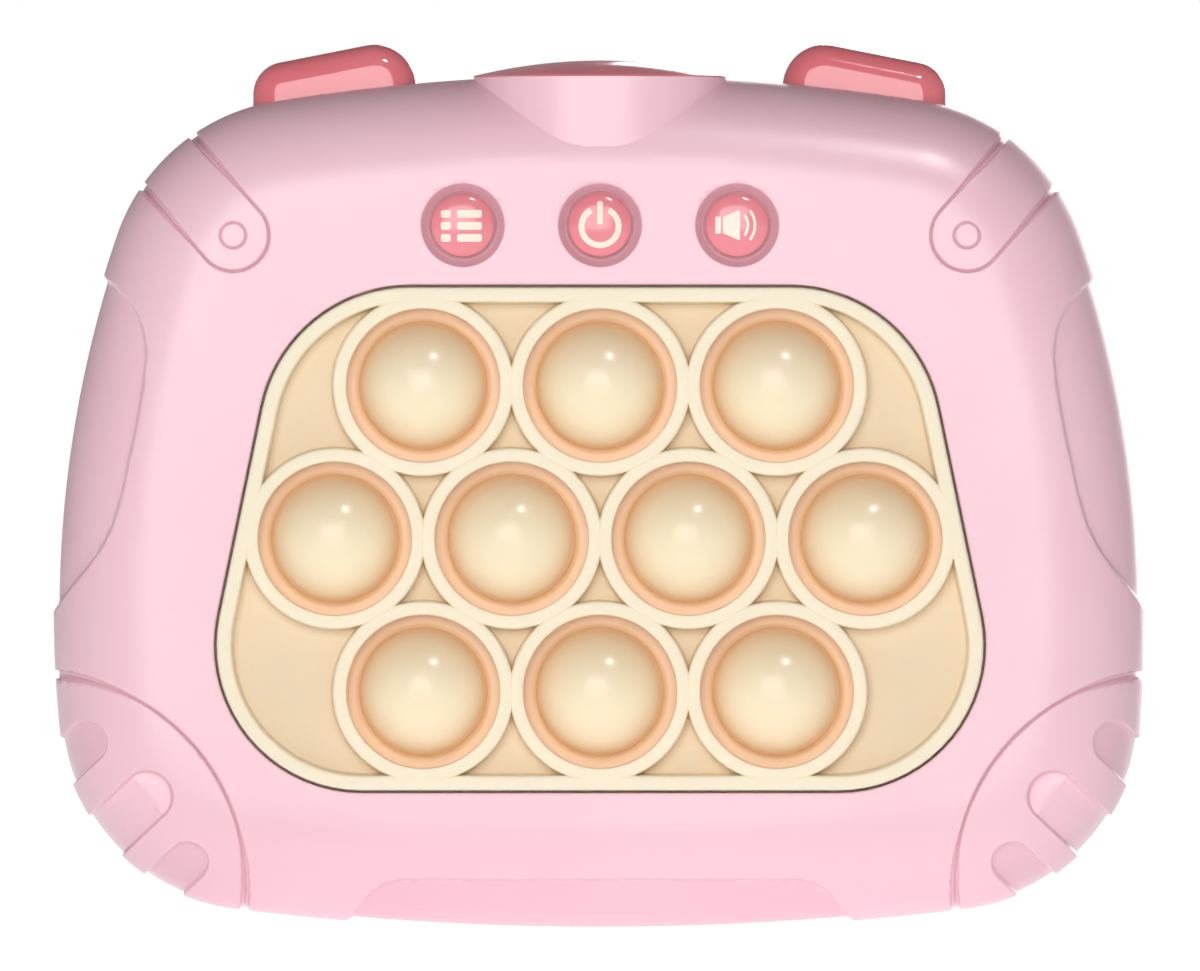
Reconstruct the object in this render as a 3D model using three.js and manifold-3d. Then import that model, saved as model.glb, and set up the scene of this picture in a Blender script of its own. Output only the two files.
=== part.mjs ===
// Handheld electronic push-bubble game: a two-part pink shell round a silicone mat with ten bubbles.
// Each bubble lights from below and is pressed in; a plunger under it works a switch on the board.
// Millimetres. +X is to the right as the player sees it, +Z is up, and the bubbles face -Y.
// The origin is under the middle of the game, on the surface it stands on.
import * as THREE from "three";
import { mergeVertices } from "three/addons/utils/BufferGeometryUtils.js";
import Module from "manifold-3d";

const wasm = await Module();
wasm.setup();

const DEG = Math.PI / 180;
const clearance = 0.3; // between pieces that touch
const overrun = 4; // how far a cutter runs past what it cuts

// Body
const bodyWidth = 155;
const bodyTopZ = 120.8; // crown of the top edge
const widestZ = 44.6; // height at which the sides are widest
const topArcR = 290;
const sideArcR = 164;
const bottomArcR = 414;
const upperCornerR = 28.6;
const lowerCornerR = 28.4;
const gameDepth = 60; // rear face to bubble tips
const bubbleProud = 4.5; // bubble tips above the front face
const partingY = 3;
const wall = 2.4;
const frontFilletR = 15;
const rearFilletR = 12;
const rearFaceY = gameDepth / 2;
const frontFaceY = bubbleProud - gameDepth / 2;
const frontInnerY = frontFaceY + wall;
const rearInnerY = rearFaceY - wall;

// Surface relief of the shells
const reliefDepth = 0.7; // foot recess under the bottom edge
const footHalfWidth = 36.4;
const footRise = 6.8; // how far the foot recess climbs up the front
const footSlope = 5.4;
const footCornerR = 5;
const gripDepth = 0.8;
const gripBottomZ = 45.2;
const gripTopZ = 93.2;
const gripReach = 13.3;
const grooveWidth = 0.9;
const grooveDepth = 0.7;
const strapInset = 25.6; // centre of a strap's round end from the widest point of the side
const strapEndZ = 98;
const strapHalfWidth = 5.1;
const strapAngle = 48.4 * DEG;
const rivetR = 1.8;
const rivetProud = 0.4;
const guardOverhang = 2.1; // centre of a guard beyond the widest point of the side
const guardCentreZ = 6.5;
const guardR = 29.4;
const slotDepth = 0.9;
const slotAngle = -43 * DEG;
// Round ends and half widths of the finger slots, as shares of the guard's radius from its centre
const fingerSlotShares = [
  { across: -0.2313, up: 0.6701, half: 0.0986 },
  { across: -0.5272, up: 0.4116, half: 0.1224 },
  { across: -0.7211, up: 0.0918, half: 0.0986 },
];
const strapEndX = bodyWidth / 2 - strapInset;
const guardCentreX = bodyWidth / 2 + guardOverhang;

// Oval light window on the top edge and the boss that carries it
const lensHalfWidth = 17.9;
const lensHalfDepth = 13;
const lensRise = 2.2;
const lensEdge = 0.4;
const lensPegR = 1.1;
const lensPegLength = 1.6;
const lensPegX = 9;
const lensSeatZ = bodyTopZ - 0.3;
const hoodSetback = 0.8; // front of the boss behind the front face
const hoodBottomZ = 104;
const hoodPower = 2.4;
const hoodY = frontFaceY + hoodSetback + lensHalfDepth;

// Silicone mat and its bubbles
const bubblePitch = 25;
const bubbleMiddleZ = 55.1;
const matUpperX = 26.9;
const matUpperZ = 69.4;
const matUpperR = 21.2;
const matLowerX = 33.7;
const matLowerZ = 40;
const matLowerR = 20.5;
const matProud = 0.4;
const matDepth = 6.9; // top of its rims to its underside
const matWeb = 1.5;
const matRim = 2.1;
const matPocketFloor = 2.4;
const ringOuterR = 12.8;
const ringInnerR = 10.8;
const flangeWidth = 2.5;
const flangeThickness = 2;
const bubbleR = 9.1;
const bubbleWall = 1.2;
const bubbleTravel = 3;
const matTopY = frontFaceY - matProud;
const matBackY = matTopY + matDepth;
const webY = matBackY - matWeb;
const bubbleTipY = -gameDepth / 2;

// Plungers under the bubbles and the plate that guides them
const plateThickness = 2;
const plungerGap = 0.45;
const plungerCapBrim = 1;
const plungerStemR = 4.95;
const plungerWall = 1.35;
const plungerPinR = 1.3;
const plungerHollow = 4.6;
const wellR = 9.6;
const wellWall = 1.3;
const wellDepth = 3.7;
const wellFloor = 1.5;
const collarWall = 1.1;
const collarLength = 3;
const plateFrontY = matBackY + clearance;
const plateBackY = plateFrontY + plateThickness;
const wellFloorY = plateFrontY + wellDepth;

// Board
const boardAhead = 6; // of the parting plane, so that its side switches meet the shoulder buttons
const boardThickness = 1.6;
const switchBody = 6;
const switchHeight = 3.4;
const switchTipR = 1.7;
const switchTipHeight = 1.7;
const ledSize = 2.8;
const ledHeight = 1.5;
const ledOffset = 5.4;
const boardHalfWidth = 52.5;
const boardTopHalfWidth = 47.5;
const boardShoulderZ = 72;
const boardTopZ = 104;
const boardBottomZ = 11.5;
const chipWidth = 12;
const chipHeight = 2;
const chipX = 34;
const capacitorR = 3.2;
const capacitorHeight = 7;
const boardFrontY = partingY - boardAhead;
const boardBackY = boardFrontY + boardThickness;
const switchTipY = boardFrontY - switchHeight - switchTipHeight;
const plungerEndY = switchTipY - bubbleTravel - clearance;

// Long screws that clamp the board and the plate to the front shell
const coreUpperScrewInset = 3.5; // from the board's edge
const coreUpperScrewZ = 99;
const coreLowerScrewInset = 2.5;
const coreLowerScrewZ = 16;
const tabTopZ = 103;
const tabBottomZ = 84;
const lugR = 3.6;
const postR = 3;
const coreBossR = 3.2;
const screwR = 1.25;
const screwHoleR = 1.6;
const pilotR = 1.4;
const screwHeadR = 2.6;
const screwHeadHeight = 1.8;
const driveWidth = 0.7;
const driveDepth = 0.9;
const driveReachShare = 0.62; // of the head's radius
const headCrownShare = 0.7; // of the head's radius
const coreUpperScrewX = boardTopHalfWidth - coreUpperScrewInset;
const coreLowerScrewX = boardHalfWidth - coreLowerScrewInset;
const tabHalfWidth = coreUpperScrewX + lugR;
const coreScrewPlaces = [
  { x: -coreUpperScrewX, z: coreUpperScrewZ },
  { x: coreUpperScrewX, z: coreUpperScrewZ },
  { x: -coreLowerScrewX, z: coreLowerScrewZ },
  { x: coreLowerScrewX, z: coreLowerScrewZ },
];

// Keys above the bubbles
const keyPitch = 19.4;
const keyZ = 99.4;
const keyR = 4.5;
const keyProud = 0.7;
const keyCrown = 1.3;
const keyCrownShares = [[0, 0], [0.5, 0.15], [0.86, 0.5], [1, 1]]; // across its radius, down its crown
const keyFlangeR = 5.8;
const keyFlangeThickness = 1;
const keyStemR = 2;
const keyTravel = 1;
const keyDishR = 5.8;
const keyDishDepth = 1.3;

// Shoulder buttons, as places on the right-hand one
const shoulderSpacing = 8.1; // from the light window's end
const shoulderOverhang = 7.86; // beyond the centre of the body's corner
const shoulderInnerProud = 5.8; // above the body's crown
const shoulderOuterProud = 1.2;
const shoulderHeight = 16; // from its foot to its inner corner
const shoulderInnerRShare = 0.35; // corner radii and edge round, of the lesser of width and height
const shoulderOuterRShare = 0.2875;
const shoulderFootRShare = 0.2125;
const shoulderRoundShare = 0.1875;
const shoulderDepth = 18;
const shoulderFlange = 1.7; // beyond the cap, front and rear
const shoulderFlangeEnd = 1; // beyond the cap, at its ends
const shoulderFlangeThickness = 1.4;
const shoulderTravel = 1.5;
const shoulderTilt = 7.7 * DEG;
const shoulderStemR = 2;
const shoulderSlotGap = 0.35;

// Shell screws, driven in from the rear
const upperScrewInset = 20.5; // from the widest point of the side
const upperScrewZ = 99;
const middleScrewInset = 11.5;
const middleScrewZ = 53;
const lowerScrewInset = 15.5;
const lowerScrewZ = 22;
const shellScrewPlaces = [
  { inset: upperScrewInset, z: upperScrewZ },
  { inset: middleScrewInset, z: middleScrewZ },
  { inset: lowerScrewInset, z: lowerScrewZ },
].flatMap(({ inset, z }) => [-1, 1].map((side) => ({ x: side * (bodyWidth / 2 - inset), z })));
const frontBossR = 3.4;
const rearBossR = 4.3;
const counterboreR = 3;
const shellScrewHeadY = 12;
const shellScrewLength = 19;
const tongueThickness = 0.8;
const tongueHeight = 1.6;

// Battery bay in the rear shell
const cellR = 7.25;
const cellLength = 50.5;
const cellNubR = 2.75;
const cellNubLength = 1;
const cellPitch = 15.5;
const cellGap = 0.4;
const bayMiddleZ = 45.5;
const bayWall = 1.5;
const baySpare = 6.7; // cell length to bay length
const contactThickness = 0.5;
const contactHalfWidth = 5.4;
const contactTabWidth = 1.6;
const contactTabLength = 3.4;
const springOuterR = 4.6;
const springInnerR = 2.8;
const springWireR = 0.45;
const springTurns = 3.5;
const coverThickness = 1.8;
const coverLip = 2.4; // cover beyond the bay opening
const coverCornerR = 3;
const coverTabHalfWidth = 8;
const coverTabHeight = 8.5;
const coverRibWidth = 16;
const coverRibHeight = 1;
const coverRibDepth = 0.5;
const coverRibPitch = 2.4;
const coverScrewLength = 7;
const coverBossR = 4.2;
const coverBossDepth = 1.5;
const coverHeadSink = 0.2;
const ledgeWidth = 2;
const ledgeThickness = 2.2;
const bayHalfLength = (cellLength + baySpare) / 2;
const cellY = rearFaceY - coverThickness - cellGap - cellR;
const bayFloorY = cellY - cellR - cellGap;
const bayTopZ = bayMiddleZ + cellPitch + cellR + cellGap;
const bayBottomZ = 2 * bayMiddleZ - bayTopZ;
const coverHalfWidth = bayHalfLength + coverLip;
const coverTopZ = bayTopZ + coverLip;
const coverBottomZ = bayBottomZ - coverLip;
const coverFrontY = rearFaceY - coverThickness;
const coverScrewZ = coverTopZ + coverTabHeight / 2 - coverLip / 2;
const coverSeatY = coverFrontY - coverBossDepth - clearance; // of the cover's boss on the shell's
const coverScrewHeadY = rearFaceY - coverHeadSink - screwHeadHeight;

// Speaker behind the grille in the rear shell
const speakerZ = 93;
const speakerR = 11.5;
const speakerFlange = 1;
const speakerDepth = 5;
const magnetR = 6.5;
const magnetDepth = 4;
const coneThickness = 0.4;
const gasketThickness = 0.8;
const gasketWidth = 1.6;
const speakerRingWall = 1.4;
const speakerRingDepth = 4;
const grilleR = 9.2;
const grillePitch = 3.6;
const grilleSlot = 1.5;

const leadR = 0.65;

// Solids

// A closed geometry as a solid: vertices are merged, and the faces are turned to point out.
function solid(geometry) {
  const bare = geometry.clone();
  bare.deleteAttribute("normal");
  bare.deleteAttribute("uv");
  const merged = mergeVertices(bare);
  const corners = merged.index.array;
  const kept = [];
  for (let i = 0; i < corners.length; i += 3) {
    const [a, b, c] = [corners[i], corners[i + 1], corners[i + 2]];
    if (a !== b && b !== c && c !== a) kept.push(a, b, c);
  }
  const make = (triVerts) =>
    new wasm.Manifold(
      new wasm.Mesh({ numProp: 3, vertProperties: merged.attributes.position.array, triVerts }),
    );
  const made = make(new Uint32Array(kept));
  return made.volume() < 0 ? make(new Uint32Array(kept.reverse())) : made;
}

// The same solid, moved by a matrix.
function moved(body, matrix) {
  return solid(geometryOf(body).applyMatrix4(matrix));
}

const acrossMiddle = new THREE.Matrix4().makeScale(-1, 1, 1);
const mirror = (body) => moved(body, acrossMiddle);

function join(solids) {
  return solids.reduce((all, one) => all.add(one));
}

function cut(body, cutters) {
  return cutters.reduce((left, one) => left.subtract(one), body);
}

function geometryOf(body) {
  const mesh = body.getMesh();
  const places = new Float32Array(mesh.numVert * 3);
  for (let i = 0; i < mesh.numVert; i++) {
    places.set(mesh.vertProperties.subarray(i * mesh.numProp, i * mesh.numProp + 3), i * 3);
  }
  const geometry = new THREE.BufferGeometry();
  geometry.setAttribute("position", new THREE.BufferAttribute(places, 3));
  geometry.setIndex(new THREE.BufferAttribute(mesh.triVerts, 1));
  geometry.computeVertexNormals();
  return geometry;
}

// Skin through rings of points that have the same count, closed by a fan at each end.
function loft(rings) {
  const count = rings[0].length;
  const points = rings.flat();
  const faces = [];
  for (let r = 0; r + 1 < rings.length; r++) {
    for (let i = 0; i < count; i++) {
      const [a, b] = [r * count + i, r * count + ((i + 1) % count)];
      faces.push(a, a + count, b + count, a, b + count, b);
    }
  }
  [rings[0], rings[rings.length - 1]].forEach((ring, end) => {
    const middle = new THREE.Vector3();
    ring.forEach((p) => middle.addScaledVector(p, 1 / count));
    const first = end ? (rings.length - 1) * count : 0;
    points.push(middle);
    for (let i = 0; i < count; i++) {
      const [a, b] = [first + i, first + ((i + 1) % count)];
      faces.push(...(end ? [b, a, points.length - 1] : [a, b, points.length - 1]));
    }
  });
  const geometry = new THREE.BufferGeometry().setFromPoints(points);
  geometry.setIndex(faces);
  return solid(geometry);
}

function shapeOf(points) {
  return new THREE.Shape(points.map((p) => new THREE.Vector2(p.x, p.y)));
}

// Plate with an outline in X and Z, between two depths. A round eases its front and rear edges.
function plate(points, frontY, rearY, round = 0) {
  const geometry = new THREE.ExtrudeGeometry(shapeOf(points), {
    depth: rearY - frontY - 2 * round,
    bevelEnabled: round > 0,
    bevelThickness: round,
    bevelSize: round,
    bevelOffset: -round,
    bevelSegments: 3,
  });
  geometry.rotateX(Math.PI / 2);
  geometry.translate(0, rearY - round, 0);
  return solid(geometry);
}

// Column with an outline in X and Y, between two heights.
function column(points, bottomZ, topZ) {
  const geometry = new THREE.ExtrudeGeometry(shapeOf(points), {
    depth: topZ - bottomZ,
    bevelEnabled: false,
  });
  geometry.translate(0, 0, bottomZ);
  return solid(geometry);
}

// Turned piece about a Y axis; its profile is a list of [radius, y].
function turned(profile, x, z, sides) {
  const points = profile.map(([r, y]) => new THREE.Vector2(r, y));
  const geometry = new THREE.LatheGeometry(points, sides);
  geometry.translate(x, 0, z);
  return solid(geometry);
}

function rod(radius, frontY, rearY, x, z, sides = 10) {
  return turned([[0, frontY], [radius, frontY], [radius, rearY], [0, rearY]], x, z, sides);
}

function box(x0, x1, y0, y1, z0, z1) {
  const geometry = new THREE.BoxGeometry(x1 - x0, y1 - y0, z1 - z0);
  geometry.translate((x0 + x1) / 2, (y0 + y1) / 2, (z0 + z1) / 2);
  return solid(geometry);
}

// Tube of one wire radius through points, with flat ends. Its section is carried along untwisted.
function tube(points, radius, sides) {
  const aside = new THREE.Vector3(1, 0, 0);
  const rings = points.map((p, i) => {
    const before = points[Math.max(i - 1, 0)];
    const after = points[Math.min(i + 1, points.length - 1)];
    const along = after.clone().sub(before).normalize();
    aside.addScaledVector(along, -aside.dot(along)).normalize();
    const up = along.clone().cross(aside);
    return Array.from({ length: sides }, (_, k) => {
      const turn = (2 * Math.PI * k) / sides;
      return p
        .clone()
        .addScaledVector(aside, radius * Math.cos(turn))
        .addScaledVector(up, radius * Math.sin(turn));
    });
  });
  return loft(rings);
}

// Outlines

const point = (x, y) => new THREE.Vector2(x, y);

function arc(centre, radius, from, to, steps, skipLast = false) {
  const count = skipLast ? steps : steps + 1;
  return Array.from({ length: count }, (_, i) => {
    const turn = from + ((to - from) * i) / steps;
    return point(centre.x + radius * Math.cos(turn), centre.y + radius * Math.sin(turn));
  });
}

function circle(x, z, radius, steps) {
  return arc(point(x, z), radius, 0, 2 * Math.PI, steps, true);
}

const mirrored = (points) => points.map((p) => point(-p.x, p.y)).reverse();

// Polygon with each corner rounded by its own radius.
function roundedPolygon(corners, steps) {
  return corners.flatMap(({ x, y, r }, i) => {
    const here = point(x, y);
    const before = corners[(i + corners.length - 1) % corners.length];
    const after = corners[(i + 1) % corners.length];
    const back = point(before.x - x, before.y - y).normalize();
    const ahead = point(after.x - x, after.y - y).normalize();
    const half = Math.acos(back.dot(ahead)) / 2;
    const centre = here
      .clone()
      .addScaledVector(back.clone().add(ahead).normalize(), r / Math.sin(half));
    const start = here.clone().addScaledVector(back, r / Math.tan(half)).sub(centre).angle();
    const end = here.clone().addScaledVector(ahead, r / Math.tan(half)).sub(centre).angle();
    const turn = Math.atan2(Math.sin(end - start), Math.cos(end - start));
    return arc(centre, r, start, start + turn, steps);
  });
}

// Round-ended band that runs outwards from its end's centre, in the given direction.
function band(x, z, angle, halfWidth, length, steps) {
  const end = point(x, z);
  const along = point(Math.cos(angle), Math.sin(angle));
  const round = arc(end, halfWidth, angle + Math.PI / 2, angle + 1.5 * Math.PI, steps);
  const far = end.clone().addScaledVector(along, length);
  const aside = point(-along.y, along.x).multiplyScalar(halfWidth);
  return [far.clone().add(aside), ...round, far.clone().sub(aside)];
}

// Centre of a corner arc that touches two larger arcs from inside, at the given signs of x and z.
function cornerCentre(first, firstR, second, secondR, cornerR, signZ) {
  const gap = second.clone().sub(first);
  const distance = gap.length();
  const a = firstR - cornerR;
  const b = secondR - cornerR;
  const along = (a * a - b * b + distance * distance) / (2 * distance);
  const aside = Math.sqrt(a * a - along * along);
  const middle = first.clone().addScaledVector(gap, along / distance);
  const normal = point(-gap.y, gap.x).divideScalar(distance);
  const found = [1, -1].map((sign) => middle.clone().addScaledVector(normal, sign * aside));
  return found.sort((p, q) => q.x + signZ * q.y - p.x - signZ * p.y)[0];
}

// The lowest facet is level; this is how far it lies inside the true arc.
const bottomSteps = 7;
const topSteps = 5;
const sideSteps = 4;
const cornerSteps = 5;
const filletSteps = 4;
const topCentre = point(0, bodyTopZ - topArcR);
const sideCentre = point(bodyWidth / 2 - sideArcR, widestZ);
function outlineArcs(bottomApexZ) {
  const bottomCentre = point(0, bottomApexZ + bottomArcR);
  const upper = cornerCentre(topCentre, topArcR, sideCentre, sideArcR, upperCornerR, 1);
  const lower = cornerCentre(bottomCentre, bottomArcR, sideCentre, sideArcR, lowerCornerR, -1);
  const atTop = upper.clone().sub(topCentre).angle();
  const atSideHigh = upper.clone().sub(sideCentre).angle();
  const signed = (v) => Math.atan2(v.y, v.x);
  const atSideLow = signed(lower.clone().sub(sideCentre));
  const atBottom = signed(lower.clone().sub(bottomCentre));
  const left = (c) => point(-c.x, c.y);
  return [
    { c: bottomCentre, r: bottomArcR, from: -Math.PI - atBottom, to: atBottom, n: bottomSteps },
    { c: lower, r: lowerCornerR, from: atBottom, to: atSideLow, n: cornerSteps },
    { c: sideCentre, r: sideArcR, from: atSideLow, to: atSideHigh, n: sideSteps },
    { c: upper, r: upperCornerR, from: atSideHigh, to: atTop, n: cornerSteps },
    { c: topCentre, r: topArcR, from: atTop, to: Math.PI - atTop, n: topSteps },
    ...[
      { c: upper, r: upperCornerR, from: atTop, to: atSideHigh, n: cornerSteps },
      { c: sideCentre, r: sideArcR, from: atSideHigh, to: atSideLow, n: sideSteps },
      { c: lower, r: lowerCornerR, from: atSideLow, to: atBottom, n: cornerSteps },
    ].map(({ c, r, from, to, n }) => {
      return { c: left(c), r, from: Math.PI - from, to: Math.PI - to, n };
    }),
  ];
}

const roughBottom = outlineArcs(-reliefDepth)[0];
const facetSag =
  (bottomArcR - reliefDepth) * (1 - Math.cos((roughBottom.to - roughBottom.from) / (2 * bottomSteps)));
const bodyArcs = outlineArcs(-reliefDepth - facetSag);

// The body's outline, moved inwards by an inset.
function bodyOutline(inset) {
  return bodyArcs.flatMap(({ c, r, from, to, n }) => arc(c, r - inset, from, to, n, true));
}

// The whole body, front and rear faces included, moved inwards all over by an inset.
function bodySolid(inset) {
  const ring = (ringInset, y) => bodyOutline(ringInset).map((p) => new THREE.Vector3(p.x, y, p.y));
  const rings = [];
  for (let i = 0; i <= filletSteps; i++) {
    const turn = (Math.PI / 2) * (1 - i / filletSteps);
    const r = frontFilletR - inset;
    rings.push(
      ring(frontFilletR - r * Math.cos(turn), frontFaceY + frontFilletR - r * Math.sin(turn)),
    );
  }
  for (let i = 0; i <= filletSteps; i++) {
    const turn = (Math.PI / 2) * (i / filletSteps);
    const r = rearFilletR - inset;
    rings.push(ring(rearFilletR - r * Math.cos(turn), rearFaceY - rearFilletR + r * Math.sin(turn)));
  }
  return loft(rings);
}

// The mat's outline, moved outwards by a margin: the hull of four circles.
function matOutline(margin, steps = 4) {
  const upper = point(matUpperX, matUpperZ);
  const lower = point(matLowerX, matLowerZ);
  const gap = upper.clone().sub(lower);
  const side = gap.angle() - Math.acos((matLowerR - matUpperR) / gap.length());
  const right = [
    ...arc(lower, matLowerR + margin, -Math.PI / 2, side, steps),
    ...arc(upper, matUpperR + margin, side, Math.PI / 2, steps),
  ];
  return [...right, ...mirrored(right)];
}

// Oval of the light window, in X and Y.
function lensOval(inset, steps = 20) {
  return Array.from({ length: steps }, (_, i) => {
    const turn = (2 * Math.PI * i) / steps;
    const bulge = (value) => Math.sign(value) * Math.abs(value) ** (2 / hoodPower);
    return point(
      (lensHalfWidth - inset) * bulge(Math.cos(turn)),
      hoodY + (lensHalfDepth - inset) * bulge(Math.sin(turn)),
    );
  });
}

// Bubble places: rows of three, four and three, on a triangular grid.
const rowPitch = (bubblePitch * Math.sqrt(3)) / 2;
const bubblePlaces = [
  { count: 3, z: bubbleMiddleZ + rowPitch },
  { count: 4, z: bubbleMiddleZ },
  { count: 3, z: bubbleMiddleZ - rowPitch },
].flatMap(({ count, z }) =>
  Array.from({ length: count }, (_, i) => ({ x: (i - (count - 1) / 2) * bubblePitch, z })),
);

const keyPlaces = [
  { name: "menu_key", x: -keyPitch },
  { name: "power_key", x: 0 },
  { name: "volume_key", x: keyPitch },
];

// Cells from the top down; a positive end points to +X or -X.
const cells = [
  { z: bayMiddleZ + cellPitch, facing: 1 },
  { z: bayMiddleZ, facing: -1 },
  { z: bayMiddleZ - cellPitch, facing: 1 },
];

const upperCorner = bodyArcs[3].c;
const shoulderInnerX = lensHalfWidth + shoulderSpacing;
const shoulderOuterX = upperCorner.x + shoulderOverhang;
const shoulderLeast = Math.min(shoulderOuterX - shoulderInnerX, shoulderHeight);
const shoulderInnerZ = bodyTopZ + shoulderInnerProud;
const shoulderOuterZ = bodyTopZ + shoulderOuterProud;
const shoulderBottomZ = shoulderInnerZ - shoulderHeight;
const shoulderInnerR = shoulderInnerRShare * shoulderLeast;
const shoulderOuterR = shoulderOuterRShare * shoulderLeast;
const shoulderFootR = shoulderFootRShare * shoulderLeast;
const shoulderRound = shoulderRoundShare * shoulderLeast;

// The right-hand shoulder button's outline, in X and Z.
function shoulderOutline(margin) {
  return roundedPolygon(
    [
      { x: shoulderInnerX - margin, y: shoulderBottomZ - margin, r: shoulderFootR },
      { x: shoulderOuterX + margin, y: shoulderBottomZ - margin, r: shoulderFootR },
      { x: shoulderOuterX + margin, y: shoulderOuterZ + margin, r: shoulderOuterR },
      { x: shoulderInnerX - margin, y: shoulderInnerZ + margin, r: shoulderInnerR },
    ],
    3,
  );
}

const shoulderMiddleX = (shoulderInnerX + shoulderOuterX) / 2;
const shoulderFrontY = partingY - shoulderDepth / 2;
const shoulderRearY = partingY + shoulderDepth / 2;

// A cutter that sinks what it covers to one depth below the body's surface.
function relief(prism, depth) {
  return prism.subtract(bodySolid(depth));
}

function throughPlate(points) {
  return plate(points, frontFaceY - overrun, rearFaceY + overrun);
}

// What the grips and foot recess take out of both shells, and the straps, guards and finger slots
// out of the front one.
function surfaceRelief() {
  const reach = bodyWidth / 2;
  const strapGroove = throughPlate(
    band(strapEndX, strapEndZ, strapAngle, strapHalfWidth + grooveWidth / 2, reach, 5),
  ).subtract(
    throughPlate(band(strapEndX, strapEndZ, strapAngle, strapHalfWidth - grooveWidth / 2, reach, 5)),
  );
  const guard = (radius) => throughPlate(circle(guardCentreX, guardCentreZ, radius, 36));
  const guardGroove = guard(guardR + grooveWidth / 2).subtract(guard(guardR - grooveWidth / 2));
  const slots = fingerSlotShares.map(({ across, up, half }) => {
    const x = guardCentreX + across * guardR;
    const z = guardCentreZ + up * guardR;
    return throughPlate(band(x, z, slotAngle, half * guardR, reach, 4));
  });
  // How far in the grip reaches, at shares of its height.
  const gripShares = [
    [0, 0], [0.06, 0.17], [0.16, 0.48], [0.25, 0.65], [0.4, 0.79], [0.55, 0.9],
    [0.68, 0.98], [0.77, 1], [0.86, 0.93], [0.94, 0.72], [1, 0.42],
  ];
  const outside = bodyWidth / 2 + overrun;
  const grip = throughPlate([
    point(outside, gripBottomZ),
    ...gripShares.map(([up, across]) =>
      point(bodyWidth / 2 - across * gripReach, gripBottomZ + up * (gripTopZ - gripBottomZ)),
    ),
    point(outside, gripTopZ),
  ]);
  const bothSides = (prism, depth) => [relief(prism, depth), relief(mirror(prism), depth)];
  const foot = throughPlate(
    roundedPolygon(
      [
        { x: -footHalfWidth - footSlope, y: -footRise, r: footCornerR / 2 },
        { x: footHalfWidth + footSlope, y: -footRise, r: footCornerR / 2 },
        { x: footHalfWidth - footSlope, y: footRise, r: footCornerR },
        { x: footSlope - footHalfWidth, y: footRise, r: footCornerR },
      ],
      4,
    ),
  );
  return {
    shared: [...bothSides(grip, gripDepth), relief(foot, reliefDepth)],
    front: [
      ...bothSides(strapGroove, grooveDepth),
      ...bothSides(guardGroove, grooveDepth),
      ...bothSides(join(slots), slotDepth),
    ],
  };
}

const surfaceCuts = surfaceRelief();
const outerBody = bodySolid(0);
const innerBody = bodySolid(wall);
const halfSpace = (y0, y1) =>
  box(-bodyWidth, bodyWidth, y0, y1, -bodyTopZ, 2 * bodyTopZ);
const frontHalf = halfSpace(frontFaceY - overrun, partingY - clearance / 2);
const rearHalf = halfSpace(partingY + clearance / 2, rearFaceY + overrun);

// Slots that both shells leave for the shoulder buttons.
function shoulderSlots() {
  const gap = shoulderSlotGap;
  const one = box(
    shoulderInnerX - gap,
    shoulderOuterX + gap,
    shoulderFrontY - gap,
    shoulderRearY + gap,
    shoulderBottomZ - overrun,
    bodyTopZ + overrun,
  );
  return [one, mirror(one)];
}

function frontShell() {
  const hood = column(lensOval(0), hoodBottomZ, lensSeatZ);
  const hollow = column(lensOval(wall), hoodBottomZ - overrun, lensSeatZ - wall);
  const crown = column(lensOval(-clearance), lensSeatZ, bodyTopZ + overrun);
  const reachable = bodySolid(wall / 2);
  const bosses = [
    ...shellScrewPlaces.map(({ x, z }) =>
      rod(frontBossR, frontFaceY, partingY - clearance / 2, x, z).intersect(reachable),
    ),
    ...coreScrewPlaces.map(({ x, z }) =>
      rod(coreBossR, frontFaceY, plateFrontY - clearance, x, z).intersect(reachable),
    ),
  ];
  const pilots = [
    ...shellScrewPlaces.map(({ x, z }) =>
      rod(pilotR, shellScrewHeadY - shellScrewLength - overrun / 2, partingY + overrun, x, z, 8),
    ),
    ...coreScrewPlaces.map(({ x, z }) =>
      rod(pilotR, frontInnerY - wall / 4, plateFrontY + overrun, x, z, 8),
    ),
  ];
  const rivets = [-strapEndX, strapEndX].map((x) =>
    rod(rivetR, frontFaceY - rivetProud, frontFaceY + wall / 2, x, strapEndZ, 8),
  );
  const keyHoles = keyPlaces.map(({ x }) =>
    turned(
      [
        [0, frontFaceY - overrun],
        [keyDishR, frontFaceY - overrun],
        [keyDishR, frontFaceY],
        [keyR + 2 * clearance, frontFaceY + keyDishDepth],
        [keyR + clearance, frontFaceY + keyDishDepth],
        [keyR + clearance, frontInnerY + overrun / 2],
        [0, frontInnerY + overrun / 2],
      ],
      x,
      keyZ,
      14,
    ),
  );
  const pegHoles = [-lensPegX, lensPegX].map((x) =>
    column(
      circle(x, hoodY, lensPegR + clearance, 10),
      lensSeatZ - wall - overrun,
      lensSeatZ + overrun,
    ),
  );
  const tongueRoom = plate(
    bodyOutline(wall - tongueThickness - clearance),
    partingY - tongueHeight - clearance,
    partingY + overrun,
  );
  const skin = outerBody.add(hood).subtract(innerBody).subtract(hollow);
  const shell = skin.subtract(tongueRoom).intersect(frontHalf).add(join([...bosses, ...rivets]));
  return cut(shell, [
    ...surfaceCuts.shared,
    ...surfaceCuts.front,
    crown,
    throughPlate(matOutline(clearance)).intersect(frontHalf),
    ...keyHoles,
    ...pilots,
    ...pegHoles,
    ...shoulderSlots(),
  ]);
}

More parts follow.
